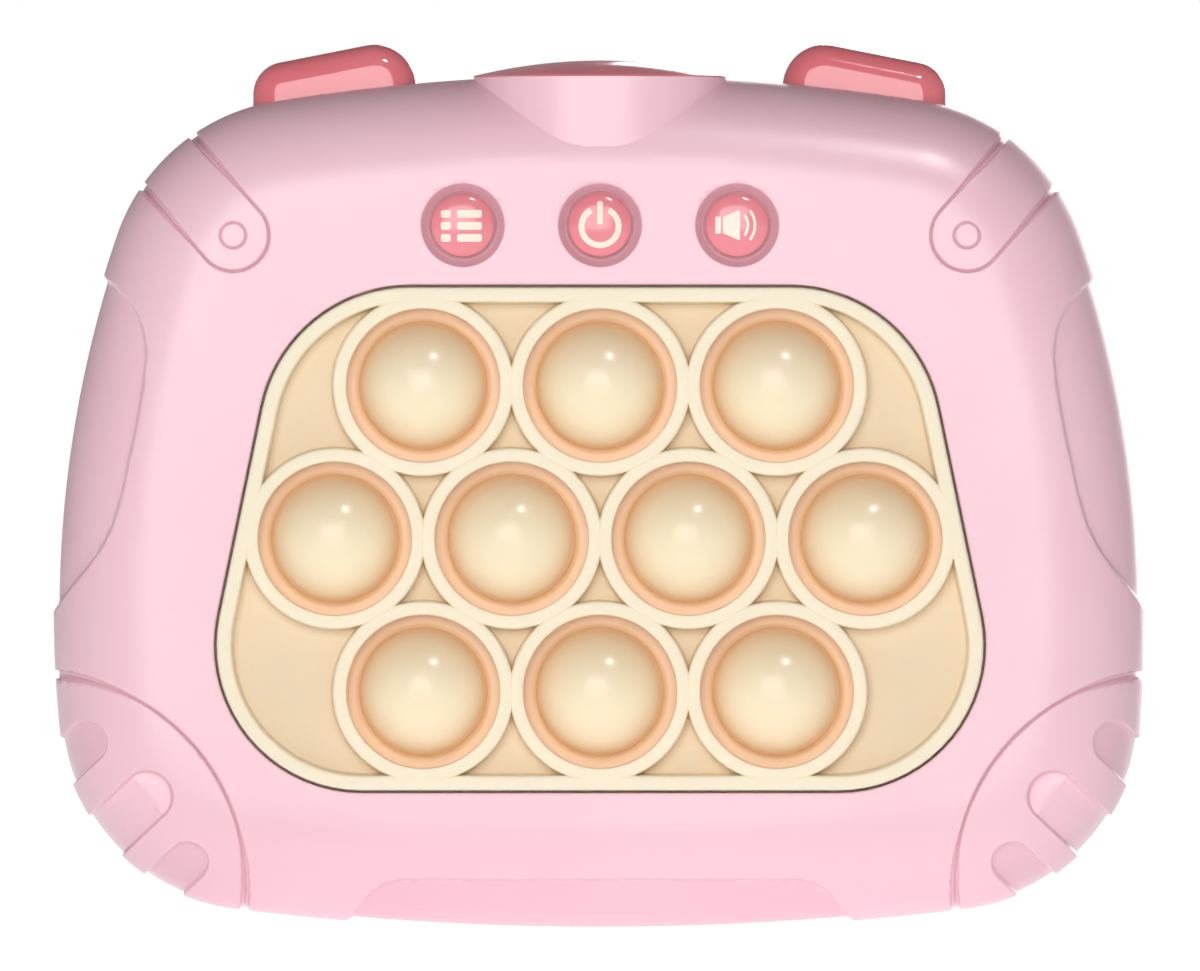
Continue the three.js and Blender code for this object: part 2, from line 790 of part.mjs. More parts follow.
function coverOutline(margin) {
  const halfWidth = coverHalfWidth + margin;
  const tab = coverTabHalfWidth + margin;
  const top = coverTopZ + margin;
  const tabTop = coverTopZ + coverTabHeight + margin;
  return roundedPolygon(
    [
      { x: -halfWidth, y: coverBottomZ - margin, r: coverCornerR },
      { x: halfWidth, y: coverBottomZ - margin, r: coverCornerR },
      { x: halfWidth, y: top, r: coverCornerR },
      { x: tab, y: top, r: coverCornerR / 2 },
      { x: tab, y: tabTop, r: coverCornerR },
      { x: -tab, y: tabTop, r: coverCornerR },
      { x: -tab, y: top, r: coverCornerR / 2 },
      { x: -halfWidth, y: top, r: coverCornerR },
    ],
    3,
  );
}

function rearShell() {
  const reachable = bodySolid(wall / 2);
  const bosses = shellScrewPlaces.map(({ x, z }) =>
    rod(rearBossR, partingY + clearance / 2, rearFaceY, x, z).intersect(reachable),
  );
  const screwPaths = shellScrewPlaces.map(({ x, z }) =>
    turned(
      [
        [0, partingY - overrun],
        [screwHoleR, partingY - overrun],
        [screwHoleR, shellScrewHeadY],
        [counterboreR, shellScrewHeadY],
        [counterboreR, rearFaceY + overrun],
        [0, rearFaceY + overrun],
      ],
      x,
      z,
      10,
    ),
  );
  const tongue = plate(
    bodyOutline(wall - tongueThickness),
    partingY - tongueHeight,
    partingY + wall,
  ).subtract(plate(bodyOutline(wall), partingY - overrun, partingY + overrun));
  const bayOuter = box(
    -bayHalfLength - bayWall,
    bayHalfLength + bayWall,
    bayFloorY - bayWall,
    rearInnerY + wall / 2,
    bayBottomZ - bayWall,
    bayTopZ + bayWall,
  );
  const bayInner = box(
    -bayHalfLength,
    bayHalfLength,
    bayFloorY,
    rearFaceY + overrun,
    bayBottomZ,
    bayTopZ,
  );
  const ledgeFrontY = coverFrontY - clearance - ledgeThickness;
  const ledge = plate(coverOutline(ledgeWidth), ledgeFrontY, rearInnerY + wall / 2);
  const recess = plate(coverOutline(clearance), coverFrontY - clearance, rearFaceY + overrun);
  const coverPost = rod(
    coverBossR + clearance + bayWall,
    coverScrewHeadY - coverScrewLength - wall,
    coverFrontY - clearance,
    0,
    coverScrewZ,
  );
  const coverPilot = turned(
    [
      [0, coverScrewHeadY - coverScrewLength - clearance],
      [pilotR, coverScrewHeadY - coverScrewLength - clearance],
      [pilotR, coverSeatY],
      [coverBossR + clearance, coverSeatY],
      [coverBossR + clearance, rearFaceY],
      [0, rearFaceY],
    ],
    0,
    coverScrewZ,
    10,
  );
  const tabSlots = [
    { side: -1, z: cells[0].z },
    { side: 1, z: cells[2].z },
  ].map(({ side, z }) => {
    const x = side * (bayHalfLength - clearance - contactThickness / 2);
    const half = contactThickness / 2 + clearance;
    return box(
      x - half,
      x + half,
      bayFloorY - overrun,
      bayFloorY + overrun / 2,
      z - contactTabWidth / 2 - clearance,
      z + contactTabWidth / 2 + clearance,
    );
  });
  const ring = turned(
    [
      [speakerR + clearance, rearInnerY - speakerRingDepth],
      [speakerR + clearance + speakerRingWall, rearInnerY - speakerRingDepth],
      [speakerR + clearance + speakerRingWall, rearInnerY + wall / 2],
      [speakerR + clearance, rearInnerY + wall / 2],
      [speakerR + clearance, rearInnerY - speakerRingDepth],
    ],
    0,
    speakerZ,
    24,
  );
  const grille = [-2, -1, 0, 1, 2].map((row) => {
    const halfLength = Math.sqrt(grilleR ** 2 - (row * grillePitch) ** 2) - grilleSlot / 2;
    const z = speakerZ + row * grillePitch;
    const half = (x, from) => arc(point(x, z), grilleSlot / 2, from, from + Math.PI, 3);
    return plate(
      [...half(halfLength, -Math.PI / 2), ...half(-halfLength, Math.PI / 2)],
      rearInnerY - wall / 2,
      rearFaceY + overrun,
    );
  });
  const shell = join([
    outerBody.subtract(innerBody).intersect(rearHalf),
    ...bosses,
    tongue,
    bayOuter,
    ledge,
    coverPost,
    ring.intersect(outerBody),
  ]);
  return cut(shell, [
    ...surfaceCuts.shared,
    recess,
    bayInner,
    coverPilot,
    ...screwPaths,
    ...tabSlots,
    ...grille,
    ...shoulderSlots(),
  ]);
}

function siliconeMat() {
  const block = plate(matOutline(0), matTopY, matBackY);
  const flangeFrontY = frontInnerY + clearance;
  const flange = plate(matOutline(flangeWidth), flangeFrontY, flangeFrontY + flangeThickness);
  const ringSides = 16;
  const rings = join(
    bubblePlaces.map(({ x, z }) => rod(ringOuterR, matTopY - overrun, matBackY, x, z, ringSides)),
  );
  const pocketY = matBackY - matPocketFloor;
  const pockets = plate(matOutline(-matRim), matTopY - overrun, pocketY).subtract(rings);
  const wells = bubblePlaces.map(({ x, z }) =>
    turned(
      [
        [0, matTopY - overrun],
        [ringInnerR, matTopY - overrun],
        [ringInnerR, webY],
        [bubbleR + clearance, webY],
        [bubbleR + clearance, matBackY + overrun],
        [0, matBackY + overrun],
      ],
      x,
      z,
      ringSides,
    ),
  );
  return cut(block.add(flange), [pockets, ...wells]);
}

// Dome profile: a quarter ellipse from the axis down to its base.
function domeProfile(radius, tipY, baseY, steps) {
  return Array.from({ length: steps + 1 }, (_, i) => {
    const turn = (Math.PI / 2) * (i / steps);
    return [radius * Math.sin(turn), baseY + (tipY - baseY) * Math.cos(turn)];
  });
}

function bubbleDome({ x, z }) {
  const skirtEndY = matBackY - clearance;
  const inside = domeProfile(bubbleR - bubbleWall, bubbleTipY + bubbleWall, webY, 3).reverse();
  return turned(
    [
      ...domeProfile(bubbleR, bubbleTipY, webY, 3),
      [bubbleR, skirtEndY],
      [bubbleR - bubbleWall, skirtEndY],
      ...inside,
    ],
    x,
    z,
    12,
  );
}

function bubblePlunger({ x, z }) {
  const capTipY = bubbleTipY + bubbleWall + plungerGap;
  const capR = bubbleR - bubbleWall - plungerGap;
  const brimY = matBackY - clearance - plungerCapBrim / 2;
  const roofY = capTipY + plungerHollow / 2;
  return turned(
    [
      ...domeProfile(capR, capTipY, webY, 3),
      [capR, brimY],
      [plungerStemR, brimY],
      [plungerStemR, plungerEndY],
      [plungerStemR - plungerWall, plungerEndY],
      [plungerStemR - plungerWall, roofY],
      [plungerPinR, roofY],
      [plungerPinR, plungerEndY],
      [0, plungerEndY],
    ],
    x,
    z,
    8,
  );
}

function guidePlate() {
  const sheet = plate(matOutline(flangeWidth), plateFrontY, plateBackY);
  const flangeBackY = frontInnerY + clearance + flangeThickness;
  const rim = plate(matOutline(flangeWidth), flangeBackY + clearance, plateBackY).subtract(
    plate(matOutline(clearance), flangeBackY - overrun, plateFrontY),
  );
  const tab = plate(
    roundedPolygon(
      [
        { x: -tabHalfWidth, y: tabBottomZ, r: lugR },
        { x: tabHalfWidth, y: tabBottomZ, r: lugR },
        { x: tabHalfWidth, y: tabTopZ, r: lugR },
        { x: -tabHalfWidth, y: tabTopZ, r: lugR },
      ],
      3,
    ),
    plateFrontY,
    plateBackY,
  );
  const lowerLugs = coreScrewPlaces.slice(2).map(({ x, z }) => {
    const inwards = Math.atan2(matLowerZ - z, Math.sign(x) * matLowerX - x);
    return plate(band(x, z, inwards, lugR, matLowerR / 2, 6), plateFrontY, plateBackY);
  });
  const posts = coreScrewPlaces.map(({ x, z }) =>
    rod(postR, plateFrontY, boardFrontY - clearance, x, z, 10),
  );
  const cups = bubblePlaces.map(({ x, z }) =>
    turned(
      [
        [0, plateFrontY],
        [wellR + wellWall, plateFrontY],
        [wellR + wellWall, wellFloorY + wellFloor],
        [plungerStemR + clearance + collarWall, wellFloorY + wellFloor],
        [plungerStemR + clearance + collarWall, wellFloorY + wellFloor + collarLength],
        [0, wellFloorY + wellFloor + collarLength],
      ],
      x,
      z,
      12,
    ),
  );
  const bores = bubblePlaces.map(({ x, z }) =>
    turned(
      [
        [0, plateFrontY - overrun],
        [wellR, plateFrontY - overrun],
        [wellR, wellFloorY],
        [plungerStemR + clearance, wellFloorY],
        [plungerStemR + clearance, boardFrontY],
        [0, boardFrontY],
      ],
      x,
      z,
      12,
    ),
  );
  const keyHoles = keyPlaces.map(({ x }) =>
    rod(keyStemR + clearance, plateFrontY - overrun, plateBackY + overrun, x, keyZ),
  );
  const screwHoles = coreScrewPlaces.map(({ x, z }) =>
    rod(screwHoleR, plateFrontY - overrun, boardFrontY + overrun, x, z, 8),
  );
  const whole = join([sheet, rim, tab, ...lowerLugs, ...posts, ...cups]);
  return cut(whole, [...bores, ...keyHoles, ...screwHoles]);
}

function mainBoard() {
  const board = plate(
    [
      point(-boardHalfWidth, boardBottomZ),
      point(boardHalfWidth, boardBottomZ),
      point(boardHalfWidth, boardShoulderZ),
      point(boardTopHalfWidth, boardShoulderZ + (boardHalfWidth - boardTopHalfWidth)),
      point(boardTopHalfWidth, boardTopZ),
      point(-boardTopHalfWidth, boardTopZ),
      point(-boardTopHalfWidth, boardShoulderZ + (boardHalfWidth - boardTopHalfWidth)),
      point(-boardHalfWidth, boardShoulderZ),
    ],
    boardFrontY,
    boardBackY,
  );
  const half = switchBody / 2;
  const bodyTopY = boardFrontY - switchHeight;
  const pushSwitch = ({ x, z }) =>
    box(x - half, x + half, bodyTopY, boardFrontY + boardThickness / 2, z - half, z + half).add(
      rod(switchTipR, switchTipY, bodyTopY + switchHeight / 2, x, z, 8),
    );
  const led = ({ x, z }) =>
    box(
      x - ledSize / 2,
      x + ledSize / 2,
      boardFrontY - ledHeight,
      boardFrontY + boardThickness / 2,
      z + ledOffset - ledSize / 2,
      z + ledOffset + ledSize / 2,
    );
  const sideSwitch = (side) => {
    const x = side * shoulderMiddleX;
    const tipZ = boardTopZ + switchTipHeight;
    const rearY = boardFrontY + boardThickness / 2;
    const body = box(x - half, x + half, bodyTopY, rearY, boardTopZ - switchBody, boardTopZ);
    const tipOutline = circle(x, boardFrontY - switchHeight / 2, switchTipR, 8);
    return body.add(column(tipOutline, boardTopZ - switchBody / 2, tipZ));
  };
  const chip = box(
    chipX - chipWidth / 2,
    chipX + chipWidth / 2,
    boardBackY - boardThickness / 2,
    boardBackY + chipHeight,
    speakerZ - chipWidth,
    speakerZ,
  );
  const capacitor = rod(
    capacitorR,
    boardBackY - boardThickness / 2,
    boardBackY + capacitorHeight,
    -chipX,
    speakerZ - chipWidth / 2,
    10,
  );
  const keys = keyPlaces.map(({ x }) => ({ x, z: keyZ }));
  const holes = coreScrewPlaces.map(({ x, z }) =>
    rod(screwHoleR, boardFrontY - overrun, boardBackY + overrun, x, z, 8),
  );
  const populated = join([
    board,
    ...[...bubblePlaces, ...keys].map(pushSwitch),
    ...bubblePlaces.map(led),
    sideSwitch(-1),
    sideSwitch(1),
    chip,
    capacitor,
  ]);
  return cut(populated, holes);
}

// Pan-head screw with its head to the rear and a cross drive.
function screw({ x, z }, headFrontY, length) {
  const headTopY = headFrontY + screwHeadHeight;
  const blank = turned(
    [
      [0, headTopY],
      [screwHeadR * headCrownShare, headTopY],
      [screwHeadR, headFrontY + screwHeadHeight / 2],
      [screwHeadR, headFrontY],
      [screwR, headFrontY],
      [screwR, headFrontY - length + screwR],
      [0, headFrontY - length],
    ],
    x,
    z,
    8,
  );
  const arm = screwHeadR * driveReachShare;
  const half = driveWidth / 2;
  const deep = headTopY - driveDepth;
  return cut(blank, [
    box(x - arm, x + arm, deep, headTopY + overrun, z - half, z + half),
    box(x - half, x + half, deep, headTopY + overrun, z - arm, z + arm),
  ]);
}

function key({ x }) {
  const topY = frontFaceY - keyProud;
  const flangeY = frontInnerY + clearance;
  const endY = switchTipY - clearance - keyTravel;
  return turned(
    [
      ...keyCrownShares.map(([across, down]) => [keyR * across, topY + keyCrown * down]),
      [keyR, flangeY],
      [keyFlangeR, flangeY],
      [keyFlangeR, flangeY + keyFlangeThickness],
      [keyStemR, flangeY + keyFlangeThickness],
      [keyStemR, endY],
      [0, endY],
    ],
    x,
    keyZ,
    12,
  );
}

function shoulderButton() {
  const cap = plate(shoulderOutline(0), shoulderFrontY, shoulderRearY, shoulderRound);
  const flangeEndX = shoulderOuterX + shoulderFlangeEnd;
  const reach = flangeEndX - shoulderMiddleX;
  const flangeReach = flangeEndX - upperCorner.x;
  const shellUnderZ = upperCorner.y + Math.sqrt((upperCornerR - wall) ** 2 - flangeReach ** 2);
  const seatZ = shellUnderZ - 2 * clearance + reach * Math.tan(shoulderTilt);
  const tilted = new THREE.Matrix4()
    .makeRotationY(shoulderTilt)
    .setPosition(shoulderMiddleX, 0, seatZ);
  const flange = box(
    -reach,
    reach,
    shoulderFrontY - shoulderFlange,
    shoulderRearY + shoulderFlange,
    -shoulderFlangeThickness,
    0,
  );
  const below = box(
    -bodyWidth,
    bodyWidth,
    -gameDepth,
    gameDepth,
    -shoulderFlangeThickness - bodyTopZ,
    -shoulderFlangeThickness,
  );
  const stem = column(
    circle(shoulderMiddleX, boardFrontY - switchHeight / 2, shoulderStemR, 8),
    boardTopZ + switchTipHeight + clearance + shoulderTravel,
    seatZ,
  );
  return join([cap.subtract(moved(below, tilted)), moved(flange, tilted), stem]);
}

// Low dome with a thin edge, and two pegs that hold it in the boss.
function topLens() {
  const baseZ = lensSeatZ + clearance;
  const steps = 3;
  const rings = [lensOval(0).map((p) => new THREE.Vector3(p.x, p.y, baseZ))];
  for (let i = 0; i <= steps; i++) {
    const share = i / (steps + 1);
    const z = baseZ + lensEdge + (lensRise - lensEdge) * (1 - (1 - share) ** 2);
    rings.push(
      lensOval(0).map(
        (p) => new THREE.Vector3(p.x * (1 - share), hoodY + (p.y - hoodY) * (1 - share), z),
      ),
    );
  }
  rings.forEach((ring) => ring.reverse());
  const pegs = [-lensPegX, lensPegX].map((x) =>
    column(circle(x, hoodY, lensPegR, 8), baseZ - lensPegLength, baseZ + lensEdge),
  );
  return join([loft(rings), ...pegs]);
}

function batteryCover() {
  const panel = plate(coverOutline(0), coverFrontY, rearFaceY);
  const boss = rod(coverBossR, coverSeatY + clearance, coverFrontY + coverThickness / 2, 0, coverScrewZ);
  const hole = turned(
    [
      [0, coverSeatY - overrun],
      [screwHoleR, coverSeatY - overrun],
      [screwHoleR, coverScrewHeadY - clearance],
      [counterboreR, coverScrewHeadY - clearance],
      [counterboreR, rearFaceY + overrun],
      [0, rearFaceY + overrun],
    ],
    0,
    coverScrewZ,
    12,
  );
  const ribs = [-1, 0, 1].map((row) => {
    const z = coverTopZ - coverTabHeight + row * coverRibPitch;
    return box(
      -coverRibWidth / 2,
      coverRibWidth / 2,
      rearFaceY - coverRibDepth,
      rearFaceY + overrun,
      z - coverRibHeight / 2,
      z + coverRibHeight / 2,
    );
  });
  return cut(panel.add(boss), [hole, ...ribs]);
}

// Dry cell along X, with its positive nub facing one way.
function batteryCell({ z, facing }) {
  const tipX = bayHalfLength - 2 * clearance - contactThickness;
  const shoulderX = tipX - cellNubLength;
  const endX = tipX - cellLength;
  const points = [
    [0, tipX],
    [cellNubR, tipX],
    [cellNubR, shoulderX],
    [cellR, shoulderX],
    [cellR, endX],
    [0, endX],
  ];
  const geometry = new THREE.LatheGeometry(
    points.map(([r, along]) => new THREE.Vector2(r, along)),
    14,
  );
  geometry.rotateZ((-facing * Math.PI) / 2);
  geometry.translate(0, cellY, z);
  return solid(geometry);
}

// Contact plate on the bay's end wall, with springs at some cells and a solder tab if it feeds a lead.
function contact(side, zs, springZs, tabZ) {
  const wallX = bayHalfLength - clearance;
  const plateX = wallX - contactThickness;
  const low = Math.min(...zs) - contactHalfWidth;
  const high = Math.max(...zs) + contactHalfWidth;
  const solids = [box(plateX, wallX, cellY - contactHalfWidth, cellY + contactHalfWidth, low, high)];
  springZs.forEach((z) => {
    const length = baySpare - 4 * clearance - 2 * contactThickness - springWireR;
    const steps = Math.round(springTurns * 7);
    const points = Array.from({ length: steps + 1 }, (_, i) => {
      const share = i / steps;
      const turn = 2 * Math.PI * springTurns * share;
      const r = springOuterR + (springInnerR - springOuterR) * share;
      return new THREE.Vector3(
        plateX - share * length,
        cellY + r * Math.cos(turn),
        z + r * Math.sin(turn),
      );
    });
    solids.push(tube(points, springWireR, 6));
  });
  if (tabZ !== null) {
    const half = contactTabWidth / 2;
    const endY = bayFloorY - bayWall - contactTabLength;
    solids.push(box(plateX, wallX, endY, cellY, tabZ - half, tabZ + half));
  }
  const right = join(solids);
  return side > 0 ? right : mirror(right);
}

function speakerParts() {
  const gasketY = rearInnerY - clearance;
  const flangeY = gasketY - gasketThickness - clearance;
  const basketY = flangeY - speakerDepth;
  const inner = speakerR - gasketWidth;
  const gasket = turned(
    [
      [inner, gasketY - gasketThickness],
      [speakerR, gasketY - gasketThickness],
      [speakerR, gasketY],
      [inner, gasketY],
      [inner, gasketY - gasketThickness],
    ],
    0,
    speakerZ,
    14,
  );
  const frame = turned(
    [
      [inner, flangeY],
      [speakerR, flangeY],
      [speakerR, flangeY - speakerFlange],
      [magnetR + speakerFlange, basketY],
      [0, basketY],
      [0, basketY + speakerFlange],
      [magnetR, basketY + speakerFlange],
      [inner, flangeY - speakerFlange],
      [inner, flangeY],
    ],
    0,
    speakerZ,
    14,
  );
  const rim = inner - clearance;
  const bottomY = basketY + speakerFlange + clearance;
  const cone = turned(
    [
      [0, bottomY + coneThickness],
      [magnetR / 2, bottomY + coneThickness],
      [rim, flangeY],
      [rim, flangeY - coneThickness],
      [magnetR / 2, bottomY],
      [0, bottomY],
    ],
    0,
    speakerZ,
    14,
  );
  const magnet = rod(magnetR, basketY - clearance - magnetDepth, basketY - clearance, 0, speakerZ, 14);
  return { gasket, frame, cone, magnet };
}

// Lead wire along a smooth curve through its points.
function lead(points, steps) {
  const curve = new THREE.CatmullRomCurve3(points.map(([x, y, z]) => new THREE.Vector3(x, y, z)));
  return tube(curve.getPoints(steps), leadR, 5);
}

function leads() {
  const boardY = boardBackY + clearance;
  const tabX = bayHalfLength - clearance - contactThickness / 2;
  const tabEndY = bayFloorY - bayWall - contactTabLength - clearance;
  const spread = tabX - chipWidth;
  const middleY = (boardY + tabEndY) / 2;
  const battery = (side, z) =>
    lead(
      [
        [side * tabX, tabEndY, z],
        [side * tabX, middleY, z],
        [side * (tabX - chipWidth / 2), middleY, z],
        [side * spread, middleY, z],
        [side * spread, boardY, z],
      ],
      10,
    );
  const magnetY = rearInnerY - 3 * clearance - gasketThickness - speakerDepth - magnetDepth;
  const speakerLead = (side) => {
    const x = side * (magnetR + leadR + clearance);
    const topY = magnetY + magnetDepth - clearance;
    return lead(
      [
        [x, topY, speakerZ],
        [x, magnetY - leadR, speakerZ],
        [side * magnetR, middleY, speakerZ - magnetR],
        [side * magnetR, boardY + leadR, speakerZ - chipWidth],
        [side * magnetR, boardY, speakerZ - chipWidth],
      ],
      10,
    );
  };
  return {
    battery_lead_black: battery(-1, cells[0].z),
    battery_lead_red: battery(1, cells[2].z),
    speaker_lead_black: speakerLead(-1),
    speaker_lead_red: speakerLead(1),
  };
}

// Materials and the assembly

const finish = (color, roughness, metalness = 0, opacity = 1) =>
  new THREE.MeshStandardMaterial({ color, roughness, metalness, opacity, transparent: opacity < 1 });
const finishes = {
  pinkShell: finish("#f6c3d0", 0.3),
  coral: finish("#e8707c", 0.18, 0, 0.9),
  coralKey: finish("#ee7f8b", 0.25),
  silicone: finish("#fbe6c2", 0.5),
  whitePlastic: finish("#f2f0ea", 0.5),
  milky: finish("#f7f3ea", 0.4, 0, 0.8),
  board: finish("#1f6b45", 0.5),
  steel: finish("#b9bcc0", 0.3, 1),
  nickel: finish("#cfccc4", 0.28, 1),
  cell: finish("#3a3d42", 0.35),
  black: finish("#202124", 0.6),
  red: finish("#b3262c", 0.5),
  foam: finish("#2b2b2e", 0.9),
};

const game = new THREE.Group();
game.name = "push_bubble_game";

function add(name, body, material) {
  const mesh = new THREE.Mesh(geometryOf(body), material);
  mesh.name = name;
  game.add(mesh);
}

const numbered = (name, i) => `${name}_${String(i + 1).padStart(2, "0")}`;

add("front_shell", frontShell(), finishes.pinkShell);
add("rear_shell", rearShell(), finishes.pinkShell);
add("silicone_mat", siliconeMat(), finishes.silicone);
bubblePlaces.forEach((place, i) => {
  add(numbered("bubble_dome", i), bubbleDome(place), finishes.silicone);
  add(numbered("bubble_plunger", i), bubblePlunger(place), finishes.milky);
});
add("guide_plate", guidePlate(), finishes.whitePlastic);
add("main_board", mainBoard(), finishes.board);
keyPlaces.forEach((place) => add(place.name, key(place), finishes.coralKey));
const rightShoulder = shoulderButton();
add("shoulder_button_right", rightShoulder, finishes.coral);
add("shoulder_button_left", mirror(rightShoulder), finishes.coral);
add("top_lens", topLens(), finishes.coral);

shellScrewPlaces.forEach((place, i) => {
  const headY = shellScrewHeadY + clearance;
  add(numbered("shell_screw", i), screw(place, headY, shellScrewLength), finishes.steel);
});
coreScrewPlaces.forEach((place, i) => {
  const headY = boardBackY + clearance;
  const length = headY - frontInnerY - clearance;
  add(numbered("core_screw", i), screw(place, headY, length), finishes.steel);
});

add("battery_cover", batteryCover(), finishes.pinkShell);
const coverScrewPlace = { x: 0, z: coverScrewZ };
add(
  "battery_cover_screw",
  screw(coverScrewPlace, coverScrewHeadY, coverScrewLength),
  finishes.steel,
);
cells.forEach((cell, i) => add(numbered("battery_cell", i), batteryCell(cell), finishes.cell));
const [topZ, middleZ, lowZ] = cells.map((cell) => cell.z);
add("contact_negative", contact(-1, [topZ], [topZ], topZ), finishes.nickel);
add("contact_positive", contact(1, [lowZ], [], lowZ), finishes.nickel);
add("contact_bridge_left", contact(-1, [middleZ, lowZ], [lowZ], null), finishes.nickel);
add("contact_bridge_right", contact(1, [topZ, middleZ], [middleZ], null), finishes.nickel);

const speaker = speakerParts();
add("speaker_gasket", speaker.gasket, finishes.foam);
add("speaker_frame", speaker.frame, finishes.steel);
add("speaker_cone", speaker.cone, finishes.black);
add("speaker_magnet", speaker.magnet, finishes.steel);
Object.entries(leads()).forEach(([name, body]) =>
  add(name, body, name.endsWith("red") ? finishes.red : finishes.black),
);

export default game;
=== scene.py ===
"""Handheld push-bubble game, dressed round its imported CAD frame.

Lengths in this file are millimetres unless a name or a comment says otherwise; the meshes are in metres.
"""

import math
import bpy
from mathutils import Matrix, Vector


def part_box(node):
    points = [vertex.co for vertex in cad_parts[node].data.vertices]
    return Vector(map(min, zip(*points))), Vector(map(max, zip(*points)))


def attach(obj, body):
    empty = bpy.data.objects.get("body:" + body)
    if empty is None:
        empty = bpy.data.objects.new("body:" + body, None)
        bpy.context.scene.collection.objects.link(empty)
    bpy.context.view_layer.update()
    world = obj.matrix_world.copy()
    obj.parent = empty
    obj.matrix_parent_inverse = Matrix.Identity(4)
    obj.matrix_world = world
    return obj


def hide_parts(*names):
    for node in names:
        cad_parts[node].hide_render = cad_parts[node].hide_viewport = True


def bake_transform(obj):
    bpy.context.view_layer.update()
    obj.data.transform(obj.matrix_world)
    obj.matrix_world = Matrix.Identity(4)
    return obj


bl_info = {
    "name": "Push-bubble game",
    "version": (1, 0, 0),
    "blender": (4, 5, 0),
    "location": "3D View > Sidebar > Game",
    "description": "Builds a handheld push-bubble game round its packed CAD frame",
    "category": "Object",
}

import bmesh
import bpy
import numpy as np
from mathutils import Vector

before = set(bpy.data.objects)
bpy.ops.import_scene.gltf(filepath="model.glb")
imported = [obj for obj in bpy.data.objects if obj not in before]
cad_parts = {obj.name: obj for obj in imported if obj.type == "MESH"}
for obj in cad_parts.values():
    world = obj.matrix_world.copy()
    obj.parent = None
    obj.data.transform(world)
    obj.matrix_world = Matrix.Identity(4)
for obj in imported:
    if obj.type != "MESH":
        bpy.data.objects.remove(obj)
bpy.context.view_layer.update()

MM = 0.001
SURFACE_TOLERANCE = 0.05  # a vertex this close to its true surface counts as on it


def cad_middle(name):
    """Middle of a CAD node's box in X and Z."""
    low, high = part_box(name)
    return 1000 * (low.x + high.x) / 2, 1000 * (low.z + high.z) / 2


# Places that the pieces share, taken from the CAD frame where it has them
FRONT_Y, REAR_Y = -25.5, 30.0
PARTING_Y = 3.0
WALL = 2.4
GAP = 0.3
FRONT_FILLET, REAR_FILLET = 15.0, 12.0
PLAIN_INSET = 22.0  # where the flat middle of a face begins
BUBBLES = [cad_middle(f"bubble_dome_{i:02d}") for i in range(1, 11)]
KEYS = {"menu_key": -19.4, "power_key": 0.0, "volume_key": 19.4}
KEY_Z = 99.4
MAT_TOP_Y = -25.9
MAT_CIRCLES = ((26.9, 69.4, 21.2), (33.7, 40.0, 20.5))  # x, z and radius of the mat's upper and lower corner
SHELL_SCREWS = [(57, 99), (66, 53), (62, 22)]
CORE_SCREWS = [(-44, 99), (44, 99), (-50, 16), (50, 16)]
COVER_SCREW_Z = 74.1
SPEAKER_Z = 93
SHOULDER_SLOT_X, SHOULDER_SLOT_Y, SHOULDER_SLOT_Z = (25.65, 49.65), (-6.35, 12.35), (106.6, 130)


# ---------------------------------------------------------------- meshes


def deselect():
    bpy.ops.object.select_all(action="DESELECT")


def named(name):
    """The primitive that was just added, under its own name."""
    piece = bpy.context.object
    piece.name = piece.data.name = name
    return piece


def only(piece):
    """Selects one piece and makes it active."""
    deselect()
    piece.select_set(True)
    bpy.context.view_layer.objects.active = piece
    return piece


def points(piece):
    """Vertices in millimetres, one row each."""
    co = np.zeros(len(piece.data.vertices) * 3)
    piece.data.vertices.foreach_get("co", co)
    return co.reshape(-1, 3) / MM


def put(piece, places):
    """Sets a piece's vertices, given in millimetres."""
    piece.data.vertices.foreach_set("co", (np.asarray(places, float) * MM).ravel())
    piece.data.update()


def run(steps):
    """Runs edit-mode steps, each an operator and its settings, and leaves edit mode."""
    for operator, settings in steps:
        operator(**settings)
    bpy.ops.object.mode_set(mode="OBJECT")


def edit(piece, *steps):
    """Runs edit-mode steps on a whole piece."""
    only(piece)
    bpy.ops.object.mode_set(mode="EDIT")
    bpy.ops.mesh.select_all(action="SELECT")
    run(steps)
    return piece


def pick(piece, kind, test, *steps):
    """Runs edit-mode steps on the edges or faces that pass a test of their middles and directions."""
    only(piece)
    bpy.ops.object.mode_set(mode="EDIT")
    bpy.context.tool_settings.mesh_select_mode = (False, kind == "edges", kind == "faces")
    bpy.ops.mesh.select_all(action="DESELECT")
    mesh = bmesh.from_edit_mesh(piece.data)
    if kind == "faces":
        middles = np.array([face.calc_center_median() for face in mesh.faces]) / MM
        directions = np.array([face.normal for face in mesh.faces])
    else:
        ends = np.array([[vertex.co for vertex in edge.verts] for edge in mesh.edges]) / MM
        middles = ends.mean(axis=1)
        directions = ends[:, 1] - ends[:, 0]
    for part, chosen in zip(getattr(mesh, kind), test(middles, directions)):
        part.select_set(bool(chosen))
    bmesh.update_edit_mesh(piece.data)
    run(steps)


def outward(piece):
    """Merges doubles and turns all faces outwards."""
    return edit(
        piece,
        (bpy.ops.mesh.remove_doubles, {"threshold": 1e-7}),
        (bpy.ops.mesh.delete_loose, {}),
        (bpy.ops.mesh.select_all, {"action": "SELECT"}),
        (bpy.ops.mesh.normals_make_consistent, {"inside": False}),
    )


